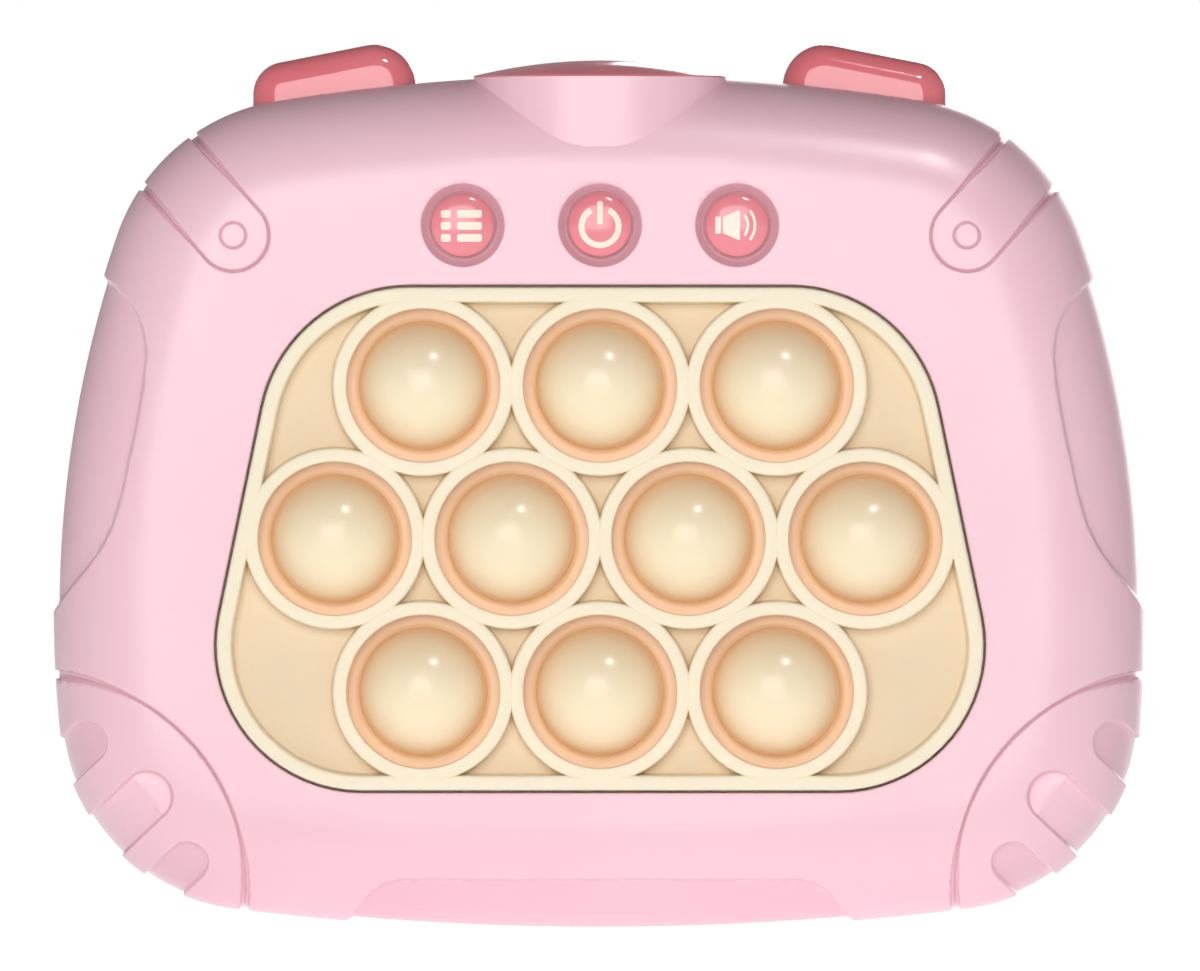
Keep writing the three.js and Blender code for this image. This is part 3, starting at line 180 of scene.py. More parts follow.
def loft(name, rings):
    """Closed skin through rings: a cylinder is cut into loops, and each loop is put where its ring is."""
    rings = np.asarray(rings, float)
    levels, count = rings.shape[:2]
    deselect()
    bpy.ops.mesh.primitive_cylinder_add(vertices=count, radius=1, depth=levels - 1, end_fill_type="NGON")
    piece = named(name)
    if levels > 2:
        cuts = {"number_cuts": levels - 2}
        pick(piece, "edges", lambda middle, along: np.abs(along[:, 2]) > 500, (bpy.ops.mesh.subdivide, cuts))
    co = points(piece) * MM
    turn = np.arctan2(co[:, 1], co[:, 0])
    place = np.rint((turn - turn[0]) * count / (2 * math.pi)).astype(int) % count
    level = np.rint(co[:, 2] + (levels - 1) / 2).astype(int)
    put(piece, rings[level, place])
    return outward(piece)


def stack(name, outline, levels):
    """Closed skin through an outline in X and Z at levels of (y, margin)."""
    return loft(name, [[(x, y, z) for x, z in outline(margin)] for y, margin in levels])


def spun(name, profile, centre=(0, 0), steps=64):
    """Turned piece about a Y axis through centre (x, z): a profile of (radius, y) is spun once round."""
    deselect()
    bpy.ops.mesh.primitive_circle_add(vertices=len(profile), radius=1)
    piece = named(name)
    put(piece, [(r, y, 0) for r, y in profile])
    whole_turn = {"steps": steps, "angle": 2 * math.pi, "center": (0, 0, 0), "axis": (0, 1, 0)}
    edit(piece, (bpy.ops.mesh.spin, whole_turn))
    outward(piece)
    put(piece, points(piece) + (centre[0], 0, centre[1]))
    return piece


def rod(name, radius, y0, y1, centre, steps=48):
    """Round rod about a Y axis through centre (x, z)."""
    return spun(name, [(0, y0), (radius, y0), (radius, y1), (0, y1)], centre, steps)


def plate(name, outline, y0, y1, edge=0.0, segments=4):
    """Plate with an outline in X and Z between two depths, its front and rear edges rounded."""
    deselect()
    bpy.ops.mesh.primitive_circle_add(vertices=len(outline), fill_type="NGON")
    piece = named(name)
    put(piece, [(x, y0, z) for x, z in outline])
    grow = {"TRANSFORM_OT_translate": {"value": (0, (y1 - y0) * MM, 0)}}
    edit(piece, (bpy.ops.mesh.extrude_region_move, grow))
    outward(piece)
    if edge:
        settings = {"offset": edge * MM, "segments": segments, "affect": "EDGES", "clamp_overlap": False}
        pick(piece, "edges", lambda middle, along: np.abs(along[:, 1]) < 1e-3, (bpy.ops.mesh.bevel, settings))
    return piece


def column(name, outline, z0, z1):
    """Column with an outline in X and Y between two heights."""
    return loft(name, [[(x, y, z) for x, y in outline] for z in (z0, z1)])


def box(name, x, y, z, edge=0.0, segments=4):
    """Block between pairs of limits, its edges rounded."""
    deselect()
    bpy.ops.mesh.primitive_cube_add(size=1)
    piece = named(name)
    low, high = np.array([x, y, z], float).T
    put(piece, low + (points(piece) * MM + 0.5) * (high - low))
    if edge:
        settings = {"offset": edge * MM, "segments": segments, "affect": "EDGES"}
        edit(piece, (bpy.ops.mesh.bevel, settings))
    return piece


def combine(piece, other, operation):
    """Joins, cuts or intersects a piece with another, which is used up."""
    only(piece)
    modifier = piece.modifiers.new(operation.lower(), "BOOLEAN")
    modifier.operation, modifier.object, modifier.solver = operation, other, "MANIFOLD"
    bpy.ops.object.modifier_apply(modifier=modifier.name)
    bpy.data.objects.remove(other)
    if not piece.data.polygons:
        raise RuntimeError(f"{piece.name}: nothing is left after {operation}")
    return piece


def cut(piece, *others):
    for other in others:
        combine(piece, other, "DIFFERENCE")
    return piece


def join(piece, *others):
    for other in others:
        combine(piece, other, "UNION")
    return piece


def smooth(piece, degrees=40, crease=None):
    """Smooth shading up to an angle, with the broad faces leading, so that flats stay flat."""
    only(piece)
    bpy.ops.object.shade_smooth_by_angle(angle=math.radians(degrees))
    if crease:
        pick(piece, "edges", crease, (bpy.ops.mesh.mark_sharp, {}))
    modifier = piece.modifiers.new("weighted", "WEIGHTED_NORMAL")
    modifier.keep_sharp = True
    bpy.ops.object.modifier_apply(modifier=modifier.name)
    return piece


def copied(piece, name, shift=(0, 0, 0), mirror=False):
    """Copy with its own mesh, shifted in millimetres, or mirrored across the middle."""
    only(piece)
    bpy.ops.object.duplicate()
    twin = named(name)
    places = points(twin) + shift
    if mirror:
        places = places * (-1, 1, 1)
    put(twin, places)
    if mirror:
        edit(twin, (bpy.ops.mesh.flip_normals, {}))
    return twin


def attribute(piece, name, values):
    """Stores one number per vertex, which the finish reads."""
    layer = piece.data.attributes.new(name, "FLOAT", "POINT")
    layer.data.foreach_set("value", np.asarray(values, np.float32))


def dress(piece, material, body, slot, *nodes):
    """Gives a finished piece its material and body, and hides the CAD nodes that it stands for; the slot is
    not used.
    """
    piece.data.materials.clear()
    piece.data.materials.append(material)
    if body:
        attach(piece, body)
    if nodes:
        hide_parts(*nodes)
    return piece


# ---------------------------------------------------------------- outlines


def arc(cx, cz, radius, start, end, steps):
    turn = np.radians(np.linspace(start, end, steps + 1))
    return [(cx + radius * math.cos(t), cz + radius * math.sin(t)) for t in turn]


def mirrored(outline):
    return outline + [(-x, z) for x, z in reversed(outline)]


def rounded(corners, steps=8):
    """Polygon with each corner (x, z, radius) rounded."""
    outline = []
    for i, (x, z, r) in enumerate(corners):
        here = np.array([x, z], float)
        back = np.array(corners[i - 1][:2], float) - here
        ahead = np.array(corners[(i + 1) % len(corners)][:2], float) - here
        back /= np.linalg.norm(back)
        ahead /= np.linalg.norm(ahead)
        half = math.acos(np.dot(back, ahead)) / 2
        middle = back + ahead
        centre = here + middle / np.linalg.norm(middle) * r / math.sin(half)
        start = here + back * r / math.tan(half) - centre
        end = here + ahead * r / math.tan(half) - centre
        first = math.atan2(start[1], start[0])
        turn = math.remainder(math.atan2(end[1], end[0]) - first, 2 * math.pi)
        for k in range(steps + 1):
            a = first + turn * k / steps
            outline.append((centre[0] + r * math.cos(a), centre[1] + r * math.sin(a)))
    return outline


def mat_outline(margin, steps=18):
    """Outline of the silicone mat, moved outwards by a margin."""
    (ux, uz, ur), (lx, lz, lr) = MAT_CIRCLES
    gap = math.hypot(ux - lx, uz - lz)
    side = math.degrees(math.atan2(uz - lz, ux - lx) - math.acos((lr - ur) / gap))
    right = arc(lx, lz, lr + margin, -90, side, steps) + arc(ux, uz, ur + margin, side, 90, steps)
    return mirrored(right)


def mat_distance(x, z):
    """Signed distance to the mat's outline."""
    (ux, uz, ur), (lx, lz, lr) = MAT_CIRCLES
    ax = np.abs(x)
    span = np.array([ux - lx, uz - lz])
    size = np.linalg.norm(span)
    lean = math.asin((lr - ur) / size)
    along = ((ax - lx) * span[0] + (z - lz) * span[1]) / size
    aside = np.abs(((ax - lx) * span[1] - (z - lz) * span[0]) / size)
    t = np.clip((along + aside * math.tan(lean)) / size, 0, 1)
    reach = np.hypot(ax - lx - t * span[0], z - lz - t * span[1]) - (lr + t * (ur - lr))
    return np.where(ax < lx, np.maximum(lz - lr - z, z - uz - ur), reach)


HOOD_Y = -11.7


def hood_outline(inset, steps=128):
    """Oval of the light window and its boss, in X and Y."""
    turn = np.linspace(0, 2 * math.pi, steps, endpoint=False)
    power = 2 / 2.4
    across = np.sign(np.cos(turn)) * np.abs(np.cos(turn)) ** power
    along = np.sign(np.sin(turn)) * np.abs(np.sin(turn)) ** power
    # The front half runs in straighter to a small round nose.
    nose = (np.sqrt(across**2 + 0.12) - 0.346) / (math.sqrt(1.12) - 0.346)
    along = np.where(along < 0, -((1 - np.minimum(nose, 1) ** 1.7) ** (1 / 1.7)), along)
    return list(zip((17.9 - inset) * across, HOOD_Y + (13 - inset) * along))


# The body's outline: five arcs on the right, as (centre, radius, start, end, points)
SIDE_R, TOP_R, BOTTOM_R = 164, 290, 414
UPPER_R, LOWER_R = 28.6, 28.4
SIDE_X, TOP_Z = 77.5, 120.8
SIDE_CENTRE = np.array([SIDE_X - SIDE_R, 44.6])
TOP_CENTRE = np.array([0, TOP_Z - TOP_R])
BOTTOM_CENTRE = np.array([0, BOTTOM_R - 0.7])


def corner_centre(first, first_r, second, second_r, r, up):
    """Centre of a corner arc that touches two larger arcs from inside, above or below the middle."""
    gap = second - first
    distance = np.linalg.norm(gap)
    a, b = first_r - r, second_r - r
    along = (a * a - b * b + distance**2) / (2 * distance)
    aside = math.sqrt(a * a - along**2) * np.array([-gap[1], gap[0]]) / distance
    middle = first + gap * along / distance
    return max((middle + aside, middle - aside), key=lambda p: p[0] + up * p[1])


UPPER = corner_centre(TOP_CENTRE, TOP_R, SIDE_CENTRE, SIDE_R, UPPER_R, 1)
LOWER = corner_centre(BOTTOM_CENTRE, BOTTOM_R, SIDE_CENTRE, SIDE_R, LOWER_R, -1)


def bearing(centre, point):
    return math.degrees(math.atan2(point[1] - centre[1], point[0] - centre[0]))


AT_BOTTOM = bearing(BOTTOM_CENTRE, LOWER)
AT_LOW = bearing(SIDE_CENTRE, LOWER)
AT_HIGH = bearing(SIDE_CENTRE, UPPER)
AT_TOP = bearing(TOP_CENTRE, UPPER)
RIGHT_ARCS = [
    (BOTTOM_CENTRE, BOTTOM_R, -90, AT_BOTTOM, 52),
    (LOWER, LOWER_R, AT_BOTTOM, AT_LOW, 42),
    (SIDE_CENTRE, SIDE_R, AT_LOW, AT_HIGH, 66),
    (UPPER, UPPER_R, AT_HIGH, AT_TOP, 36),
    (TOP_CENTRE, TOP_R, AT_TOP, 90, 44),
]


def body_ring(inset, y):
    """Points round the body at one depth, moved inwards by an inset."""
    right = []
    for (cx, cz), r, start, end, count in RIGHT_ARCS:
        for k in range(count):
            a = math.radians(start + (end - start) * k / count)
            right.append((cx + (r - inset) * math.cos(a), cz + (r - inset) * math.sin(a)))
    right.append((0, TOP_Z - inset))
    left = [(-x, z) for x, z in reversed(right[1:-1])]
    return [(x, y, z) for x, z in right + left]


def inset_and_normal(x, z):
    """How far points lie inside the body's outline, and the outline's outward normal there."""
    side = np.where(x < 0, -1.0, 1.0)
    q = np.stack([np.abs(x), z], 1)
    inset = np.zeros(len(x))
    normal = np.zeros((len(x), 2))
    done = np.zeros(len(x), bool)
    # The corners come first, then bottom, top and side; the two flattest arcs count only in their own half.
    for i in (1, 3, 0, 4, 2):
        centre, r, start, end, _ = RIGHT_ARCS[i]
        away = q - centre
        reach = np.linalg.norm(away, axis=1)
        turn = np.degrees(np.arctan2(away[:, 1], away[:, 0]))
        here = ~done & (turn >= start - 1e-6) & (turn <= end + 1e-6) & (reach > 3)
        if r == BOTTOM_R:
            here &= z < 45
        elif r == TOP_R:
            here &= z > 80
        inset[here] = (r - reach)[here]
        normal[here] = (away / reach[:, None])[here]
        done |= here
    inset[~done] = 60
    normal[:, 0] *= side
    return inset, normal


class Skin:
    """One shell's true outer surface: flat face, fillet and straight side."""

    def __init__(self, face_y, fillet):
        self.face_y, self.fillet = face_y, fillet
        self.sign = 1 if face_y < 0 else -1  # direction from the face into the body
        self.start_y = face_y + self.sign * fillet

    def place(self, co):
        """Off-surface distance, place on the surface, and outward normal of each point."""
        inset, flat_normal = inset_and_normal(co[:, 0], co[:, 2])
        deep = (co[:, 1] - self.face_y) * self.sign
        across, out = self.fillet - inset, self.fillet - deep
        reach = np.maximum(np.hypot(across, out), 1e-9)
        on_face = across <= 0
        on_side = ~on_face & (out <= 0)
        on_fillet = ~on_face & ~on_side
        off = np.where(on_face, deep, np.where(on_side, inset, self.fillet - reach))
        u = np.where(on_fillet, across / reach, np.where(on_side, 1.0, 0.0))
        v = np.where(on_fillet, out / reach, np.where(on_side, 0.0, 1.0))
        normal = np.stack([flat_normal[:, 0] * u, -self.sign * v, flat_normal[:, 1] * u], 1)
        return off, co + normal * off[:, None], normal, inset


# ---------------------------------------------------------------- relief of the shells


def soft_step(low, high, value):
    t = np.clip((value - low) / (high - low), 0, 1)
    return t * t * (3 - 2 * t)


def to_line(x, z, line):
    """Distance from points to a line through given places."""
    best = np.full(len(x), 1e9)
    for (ax, az), (bx, bz) in zip(line[:-1], line[1:]):
        dx, dz = bx - ax, bz - az
        t = np.clip(((x - ax) * dx + (z - az) * dz) / (dx * dx + dz * dz), 0, 1)
        best = np.minimum(best, np.hypot(x - ax - t * dx, z - az - t * dz))
    return best


OFF_SIDE = 90  # an x well past the body's side
GRIP_BOTTOM, GRIP_TOP, GRIP_REACH = 45.2, 93.2, 13.3
GRIP_SHARES = [  # how far up the grip, and how far it reaches in there
    (0, 0), (0.06, 0.17), (0.16, 0.48), (0.25, 0.65), (0.4, 0.79), (0.55, 0.9),
    (0.68, 0.98), (0.77, 1), (0.86, 0.93), (0.94, 0.72), (1, 0.42),
]


def grip_line():
    """Inner edge of a grip, eased through its shares, with both ends run out past the side."""
    up, across = (np.array(v) for v in zip(*GRIP_SHARES))
    fine = np.linspace(0, 1, 45)
    bend = np.interp(fine, up, across)
    for _ in range(3):
        bend[1:-1] = (bend[:-2] + 2 * bend[1:-1] + bend[2:]) / 4
    line = [(SIDE_X - a * GRIP_REACH, GRIP_BOTTOM + u * (GRIP_TOP - GRIP_BOTTOM)) for u, a in zip(fine, bend)]
    return [(OFF_SIDE, GRIP_BOTTOM), *line, (OFF_SIDE, GRIP_TOP)]


GRIP_LINE = grip_line()


def grip_distance(x, z):
    """Signed distance to a grip's edge, negative inside the grip."""
    ax = np.abs(x)
    xs, zs = (np.array(v) for v in zip(*GRIP_LINE[1:-1]))
    inside = (z > GRIP_BOTTOM) & (z < GRIP_TOP) & (ax > np.interp(z, zs, xs))
    return np.where(inside, -1, 1) * to_line(ax, z, GRIP_LINE)


def foot_distance(x, z):
    """Signed distance to the foot recess under the bottom edge."""
    ax = np.abs(x)
    top = z - 6.8
    slant = (ax - 41.8) * 0.783 + (z + 6.8) * 0.622
    blend = 3.0
    mix = np.clip(0.5 + 0.5 * (top - slant) / blend, 0, 1)
    return slant + (top - slant) * mix + blend * mix * (1 - mix)


def capsule_distance(x, z, ex, ez, degrees, half):
    """Signed distance to a round-ended band that runs outwards."""
    ax = np.abs(x) - ex
    dx, dz = math.cos(math.radians(degrees)), math.sin(math.radians(degrees))
    along = np.clip(ax * dx + (z - ez) * dz, 0, 200)
    return np.hypot(ax - along * dx, z - ez - along * dz) - half


STRAP_END = (51.9, 98)
STRAP_LEAN, STRAP_HALF = 48.4, 5.1
RIVET_R = 1.8
GUARD_CENTRE, GUARD_R = (79.6, 6.5), 29.4
SLOT_LEAN = -43
SLOTS = [(72.8, 26.2, 2.9), (64.1, 18.6, 3.6), (58.4, 9.2, 2.9)]  # inner end x and z, half width


def strap_distance(x, z):
    return capsule_distance(x, z, *STRAP_END, STRAP_LEAN, STRAP_HALF)


def guard_distance(x, z):
    return np.hypot(np.abs(x) - GUARD_CENTRE[0], z - GUARD_CENTRE[1]) - GUARD_R


def rivet_distance(x, z):
    return np.hypot(np.abs(x) - STRAP_END[0], z - STRAP_END[1]) - RIVET_R


def slot_distance(x, z, slots=SLOTS):
    return np.min([capsule_distance(x, z, sx, sz, SLOT_LEAN, half) for sx, sz, half in slots], axis=0)


def slot_share(x, z):
    """1 inside a finger slot, 0 outside it, with a soft edge."""
    return 1 - soft_step(-0.22, 0.22, slot_distance(x, z))


LINE_DEPTH = 0.45  # of the corner grooves on the flat face
CORNER_FADE = (9, 17)  # between these depths the corner relief runs out on the rear shell's side


def groove(distance, width, depth, ease=0.12):
    """Depth of a groove along the zero line of a distance."""
    return depth * (1 - soft_step(width / 2 - ease, width / 2 + ease, np.abs(distance)))


def sunk_panels(look, x, z):
    """Depth of the grips and the foot recess."""
    grip = look.grip_depth / MM * (1 - soft_step(-0.5, 0.35, grip_distance(x, z)))
    foot = look.foot_depth / MM * (1 - soft_step(-0.35, 0.25, foot_distance(x, z)))
    return np.maximum(grip, foot)


def corner_relief(look, x, z, inset):
    """Depth of the finger slots and of the grooves round the guards, straps and rivets."""
    open_side = 1 - soft_step(1.5, 12.5, inset)
    width = look.line_width / MM + (look.groove_width - look.line_width) / MM * open_side
    deep = LINE_DEPTH + (look.groove_depth / MM - LINE_DEPTH) * open_side
    parts = [
        look.slot_depth / MM * slot_share(x, z),
        groove(guard_distance(x, z), width, deep),
        groove(strap_distance(x, z), width, deep),
        groove(rivet_distance(x, z), 0.3, 0.35, 0.1),
    ]
    return np.max(parts, axis=0)


def relief(look, co, inset):
    """Depth of all the relief at places on a shell."""
    x, y, z = co.T
    fade = 1 - soft_step(*CORNER_FADE, y)
    return np.maximum(sunk_panels(look, x, z), fade * corner_relief(look, x, z, inset))


def front_nearness(co):
    """How near a place is to an edge of the front shell's relief, the fine lines first."""
    x, z = co[:, 0], co[:, 2]
    lines = [guard_distance(x, z), strap_distance(x, z), rivet_distance(x, z), slot_distance(x, z)]
    fine = np.min(np.abs(lines), axis=0)
    coarse = np.minimum(np.abs(grip_distance(x, z)), np.abs(foot_distance(x, z)))
    boss = np.where((np.abs(x) < 18.5) & (z > 108.5) & (z < 120.3) & (co[:, 1] < HOOD_Y), 0.5, 9)
    return np.minimum(np.minimum(fine, boss), coarse * 1.7 + 0.25)


def rear_nearness(co):
    """The same for the rear shell, where the corner relief ends on the side."""
    x, z = co[:, 0], co[:, 2]
    side = np.abs(np.minimum(np.minimum(guard_distance(x, z), strap_distance(x, z)), slot_distance(x, z)))
    side = np.where(co[:, 1] < CORNER_FADE[1], side, 9)
    return np.minimum(np.minimum(np.abs(grip_distance(x, z)), np.abs(foot_distance(x, z))), side)


def bowl(name, skin, inner_profile, side_steps):
    """Half a body: outer skin from its flat middle to the parting face, and back along the inner wall."""
    s, f, yc = skin.sign, skin.fillet, skin.start_y
    part = PARTING_Y - s * GAP / 2
    rings = [body_ring(d, skin.face_y) for d in np.arange(PLAIN_INSET, f + 0.3, -1.25)]
    steps = round(f * 1.4)
    for k in range(steps + 1):
        a = math.radians(90 * k / steps)
        rings.append(body_ring(f - f * math.sin(a), yc - s * f * math.cos(a)))
    last = part - s * 0.35
    rings += [body_ring(0, y) for y in np.linspace(yc, last, side_steps + 1)[1:]]
    rings += [body_ring(0.1, part - s * 0.1), body_ring(0.3, part)]
    rings += [body_ring(d, y) for d, y in inner_profile]
    inner = f - WALL
    for k in range(9):
        a = math.radians(90 * k / 8)
        rings.append(body_ring(f - inner * math.cos(a), yc - s * inner * math.sin(a)))
    rings.append(body_ring(PLAIN_INSET, skin.face_y + s * WALL))
    return loft(name, rings)


def refine(piece, skin, nearness, bands):
    """Cuts outer faces near the relief's edges finer, band by band; new points go on the true surface."""
    for band in bands:

        def near_relief(middle, normal):
            off, _, _, inset = skin.place(middle)
            return (np.abs(off) < 0.3) & (inset < PLAIN_INSET) & (nearness(middle) < band)

        pick(piece, "faces", near_relief, (bpy.ops.mesh.subdivide, {"number_cuts": 1}))
        co = points(piece)
        off, on, _, inset = skin.place(co)
        near = (np.abs(off) < SURFACE_TOLERANCE) & (inset < PLAIN_INSET + 0.1)
        co[near] = on[near]
        put(piece, co)


def press(piece, skin, look, level=None):
    """Presses the relief in square to the outer surface; a finger slot goes down to a level at least."""
    co = points(piece)
    off, _, normal, inset = skin.place(co)
    part = PARTING_Y - skin.sign * GAP / 2
    rim = (np.abs(co[:, 1] - part) < 0.36) & (inset < 0.35)
    outer = ((np.abs(off) < SURFACE_TOLERANCE) | rim) & (inset < PLAIN_INSET + 0.1)
    moved = co - normal * relief(look, co, inset)[:, None]
    if level:
        share = slot_share(co[:, 0], co[:, 2])
        sunk = co.copy()
        sunk[:, 1] = level
        lower = (moved[:, 1] < level) & (share > 0)
        moved[lower] = (co + (sunk - co) * share[:, None])[lower]
    co[outer] = moved[outer]
    put(piece, co)


# ---------------------------------------------------------------- finishes


def rgb(code):
    """sRGB hex colour as linear red, green, blue and alpha."""
    values = [int(code[i : i + 2], 16) / 255 for i in (1, 3, 5)]
    return (*[v / 12.92 if v <= 0.04045 else ((v + 0.055) / 1.055) ** 2.4 for v in values], 1.0)


def cleared(owner):
    """Empty node tree of a material or world."""
    owner.use_nodes = True
    owner.node_tree.nodes.clear()
    return owner.node_tree


def add(tree, kind, settings=None, **inputs):
    """Adds a node with its settings; an input is a value or another node's output."""
    made = tree.nodes.new("ShaderNode" + kind)
    for name, value in (settings or {}).items():
        setattr(made, name, value)
    for name, value in inputs.items():
        socket = made.inputs[int(name[1:]) if name[1:].isdigit() else name.replace("_", " ")]
        if isinstance(value, bpy.types.NodeSocket):
            tree.links.new(value, socket)
        else:
            socket.default_value = value
    return made


def finish(name, build, **shader):
    """A material: build returns the linked inputs of its shader; plain values are set as they are."""
    material = bpy.data.materials.get(name)
    if material:
        return material
    material = bpy.data.materials.new(name)
    tree = cleared(material)
    place = add(tree, "TexCoord").outputs["Object"]
    surface = add(tree, "BsdfPrincipled", **shader, **build(tree, place))
    add(tree, "OutputMaterial", Surface=surface.outputs[0])
    return material


def noise(tree, place, size, detail=3.0, roughness=0.5):
    """Noise whose features are about that many millimetres across."""
    return add(
        tree, "TexNoise", Vector=place, Scale=1 / (size * MM), Detail=detail, Roughness=roughness
    ).outputs["Fac"]


def ramp(tree, value, *stops):
    """Colour ramp through (position, hex) stops."""
    made = add(tree, "ValToRGB", Fac=value)
    made.color_ramp.interpolation = "EASE"
    elements = made.color_ramp.elements
    while len(elements) < len(stops):
        elements.new(0.5)
    for element, (position, code) in zip(elements, stops):
        element.position = position
        element.color = rgb(code)
    return made.outputs["Color"]


def bump(tree, height, depth):
    """Bump of a depth in millimetres."""
    return add(tree, "Bump", Height=height, Strength=1.0, Distance=depth * MM).outputs["Normal"]


def stored(tree, name):
    """Number that a piece's vertices carry."""
    return add(tree, "Attribute", {"attribute_name": name}).outputs["Fac"]


def blended(tree, share, first, code):
    """Colour that turns from the first into a hex colour as the share rises to 1."""
    return add(tree, "Mix", {"data_type": "RGBA"}, i0=share, i6=first, i7=rgb(code)).outputs[2]


def moulded(dark, light, grain=0.35, depth=0.004, rough=(0.3, 0.36)):
    """Injection-moulded plastic: faint flow clouds in its colour, and the mould's fine spark texture."""

    def build(tree, place):
        cloud = noise(tree, place, 40, 2)
        spark = noise(tree, place, grain, 2)
        even = add(tree, "MapRange", Value=spark, To_Min=rough[0], To_Max=rough[1])
        return {
            "Base_Color": ramp(tree, cloud, (0.25, dark), (0.75, light)),
            "Roughness": even.outputs[0],
            "Normal": bump(tree, spark, depth),
        }

    return build


def silicone(name, depths, stops, shade, grain_depth, **shader):
    """Moulded silicone: painted darker with its depth as painted shade, darker still where a stored share of
    painted shade says so, with a fine grain.
    """

    def build(tree, place):
        depth = add(tree, "SeparateXYZ", Vector=place).outputs["Y"]
        sunk = add(tree, "MapRange", Value=depth, From_Min=depths[0] * MM, From_Max=depths[1] * MM)
        base = ramp(tree, sunk.outputs[0], *stops)
        colour = blended(tree, stored(tree, shade[0]), base, shade[1])
        return {"Base_Color": colour, "Normal": bump(tree, noise(tree, place, 0.3, 2), grain_depth)}

    return finish(name, build, IOR=1.41, **shader)


def shell_finish(look):
    # Opaque pink ABS, injection moulded and lightly polished: a broad soft sheen, no mirror reflections.
    # Grooves, key dishes, finger slots, the foot recess and the joint round the mat carry painted shade:
    # mauve, and dark brown in the joint.
    def build(tree, place):
        made = moulded(look.shade, look.pink)(tree, place)
        # The stored hollow share is painted shade: mauve up to 1, dark brown from 1 to 2.
        hollow = stored(tree, "hollow")
        for low, code in ((0.0, "#DBA9B5"), (1.0, "#55302F")):
            share = add(tree, "MapRange", Value=hollow, From_Min=low, From_Max=low + 1)
            made["Base_Color"] = blended(tree, share.outputs[0], made["Base_Color"], code)
        return made

    return finish("ABS_injection_moulded_pink", build, IOR=1.53, Specular_IOR_Level=0.55)


# ---------------------------------------------------------------- settings


def length(name, description, default):
    return bpy.props.FloatProperty(
        name=name, description=description, default=default, unit="LENGTH", subtype="DISTANCE", precision=5
    )


def colour(name, description, default):
    return bpy.props.StringProperty(name=name, description=description + ", as sRGB hex", default=default)


class GAME_PG_shell(bpy.types.PropertyGroup):
    """Sizes and colours of the two shells."""

    grip_depth: length("Grip depth", "How far the side grips are sunk", 0.8 * MM)
    foot_depth: length("Foot depth", "How far the recess under the bottom edge is sunk", 0.7 * MM)
    slot_depth: length("Finger slot depth", "How far the finger slots are sunk", 0.9 * MM)
    groove_depth: length("Groove depth", "Depth of the guard and strap grooves at the side", 0.9 * MM)
    groove_width: length("Groove width", "Width of those grooves at the side", 1.1 * MM)
    line_width: length("Line width", "Width of those grooves on the flat face", 0.34 * MM)
    pink: colour("Pink", "Lighter tone of the shells", "#FBD0DA")
    shade: colour("Pink shade", "Darker tone of the shells", "#F8CAD5")


class GAME_PG_face(bpy.types.PropertyGroup):
    """Sizes and colours of the silicone play face."""

    ring_inner: length("Ring inner radius", "Radius of the well round each bubble", 10.8 * MM)
    ring_outer: length("Ring outer radius", "Outer radius of each ring", 12.8 * MM)
    rim: length("Rim width", "Width of the mat's raised border", 2.1 * MM)
    pocket_depth: length("Pocket depth", "Depth of the pockets between the rings", 4.5 * MM)
    bubble_radius: length("Bubble radius", "Radius of a bubble at its base", 9.1 * MM)
    cream: colour("Cream", "Rings, rims and bubble tips", "#FFF2D6")
    # Amber is the painted shade colour of the deep places and of each bubble's base.
    amber: colour("Amber", "Deep places of the silicone", "#FFE0BC")


class GAME_PG_controls(bpy.types.PropertyGroup):
    """Sizes and colours of the keys, shoulder buttons and light window."""

    key_radius: length("Key radius", "Radius of the three round keys", 4.5 * MM)
    shoulder_round: length("Shoulder round", "Rounding of the shoulder buttons' edges", 3.8 * MM)
    key_coral: colour("Key coral", "The three round keys", "#F58C96")
    shoulder_coral: colour("Shoulder coral", "The shoulder buttons", "#F88A92")
    lens_rose: colour("Lens rose", "The light window", "#F49AA2")
    ink: colour("Ink", "The keys' icons", "#FFF6E6")


class GAME_PG_stage(bpy.types.PropertyGroup):
    """Camera, floor and light."""

    distance: length("Camera distance", "From the lens to the middle of the game", 4.0)
    eye_height: length("Eye height", "Height of the camera", 62.6 * MM)
    frame_width: length("Frame width", "Width seen at the game's middle", 170.72 * MM)
    front_power: bpy.props.FloatProperty(
        name="Front light", description="Power of the large front light in watts", default=13.2, min=0
    )
    top_power: bpy.props.FloatProperty(
        name="Top light", description="Power of the small light above the front, in watts", default=4, min=0
    )


# ---------------------------------------------------------------- pieces


LIP = 0.62  # margin of the mat's opening at the front face


def shoulder_slots():
    """Cutters for the two openings that the shoulder buttons stand in."""
    limits = [sorted((side * x for x in SHOULDER_SLOT_X)) for side in (-1, 1)]
    return [box("slot", x, SHOULDER_SLOT_Y, SHOULDER_SLOT_Z) for x in limits]


def painted_shade_share(x, y, z):
    """How much painted shade the front shell carries: up to 1 in its lines and key dishes, less in two finger
    slots and the foot recess, and 2 in the gap round the mat.
    """
    key = np.min([np.hypot(x - kx, z - KEY_Z) for kx in KEYS.values()], axis=0)
    return np.max(
        [
            groove(guard_distance(x, z), 0.34, 1),
            groove(strap_distance(x, z), 0.34, 1),
            groove(rivet_distance(x, z), 0.3, 0.8),
            0.3 * (slot_distance(x, z) < -0.1) * (slot_distance(x, z, SLOTS[1:2]) > 0.2),
            0.25 * (foot_distance(x, z) < -0.1),
            0.75 * ((key < 5.95) & (y > FRONT_Y + 0.1)),
            2.0 * ((np.abs(mat_distance(x, z)) < 0.5) & (y > FRONT_Y + 0.25)),
        ],
        axis=0,
    )


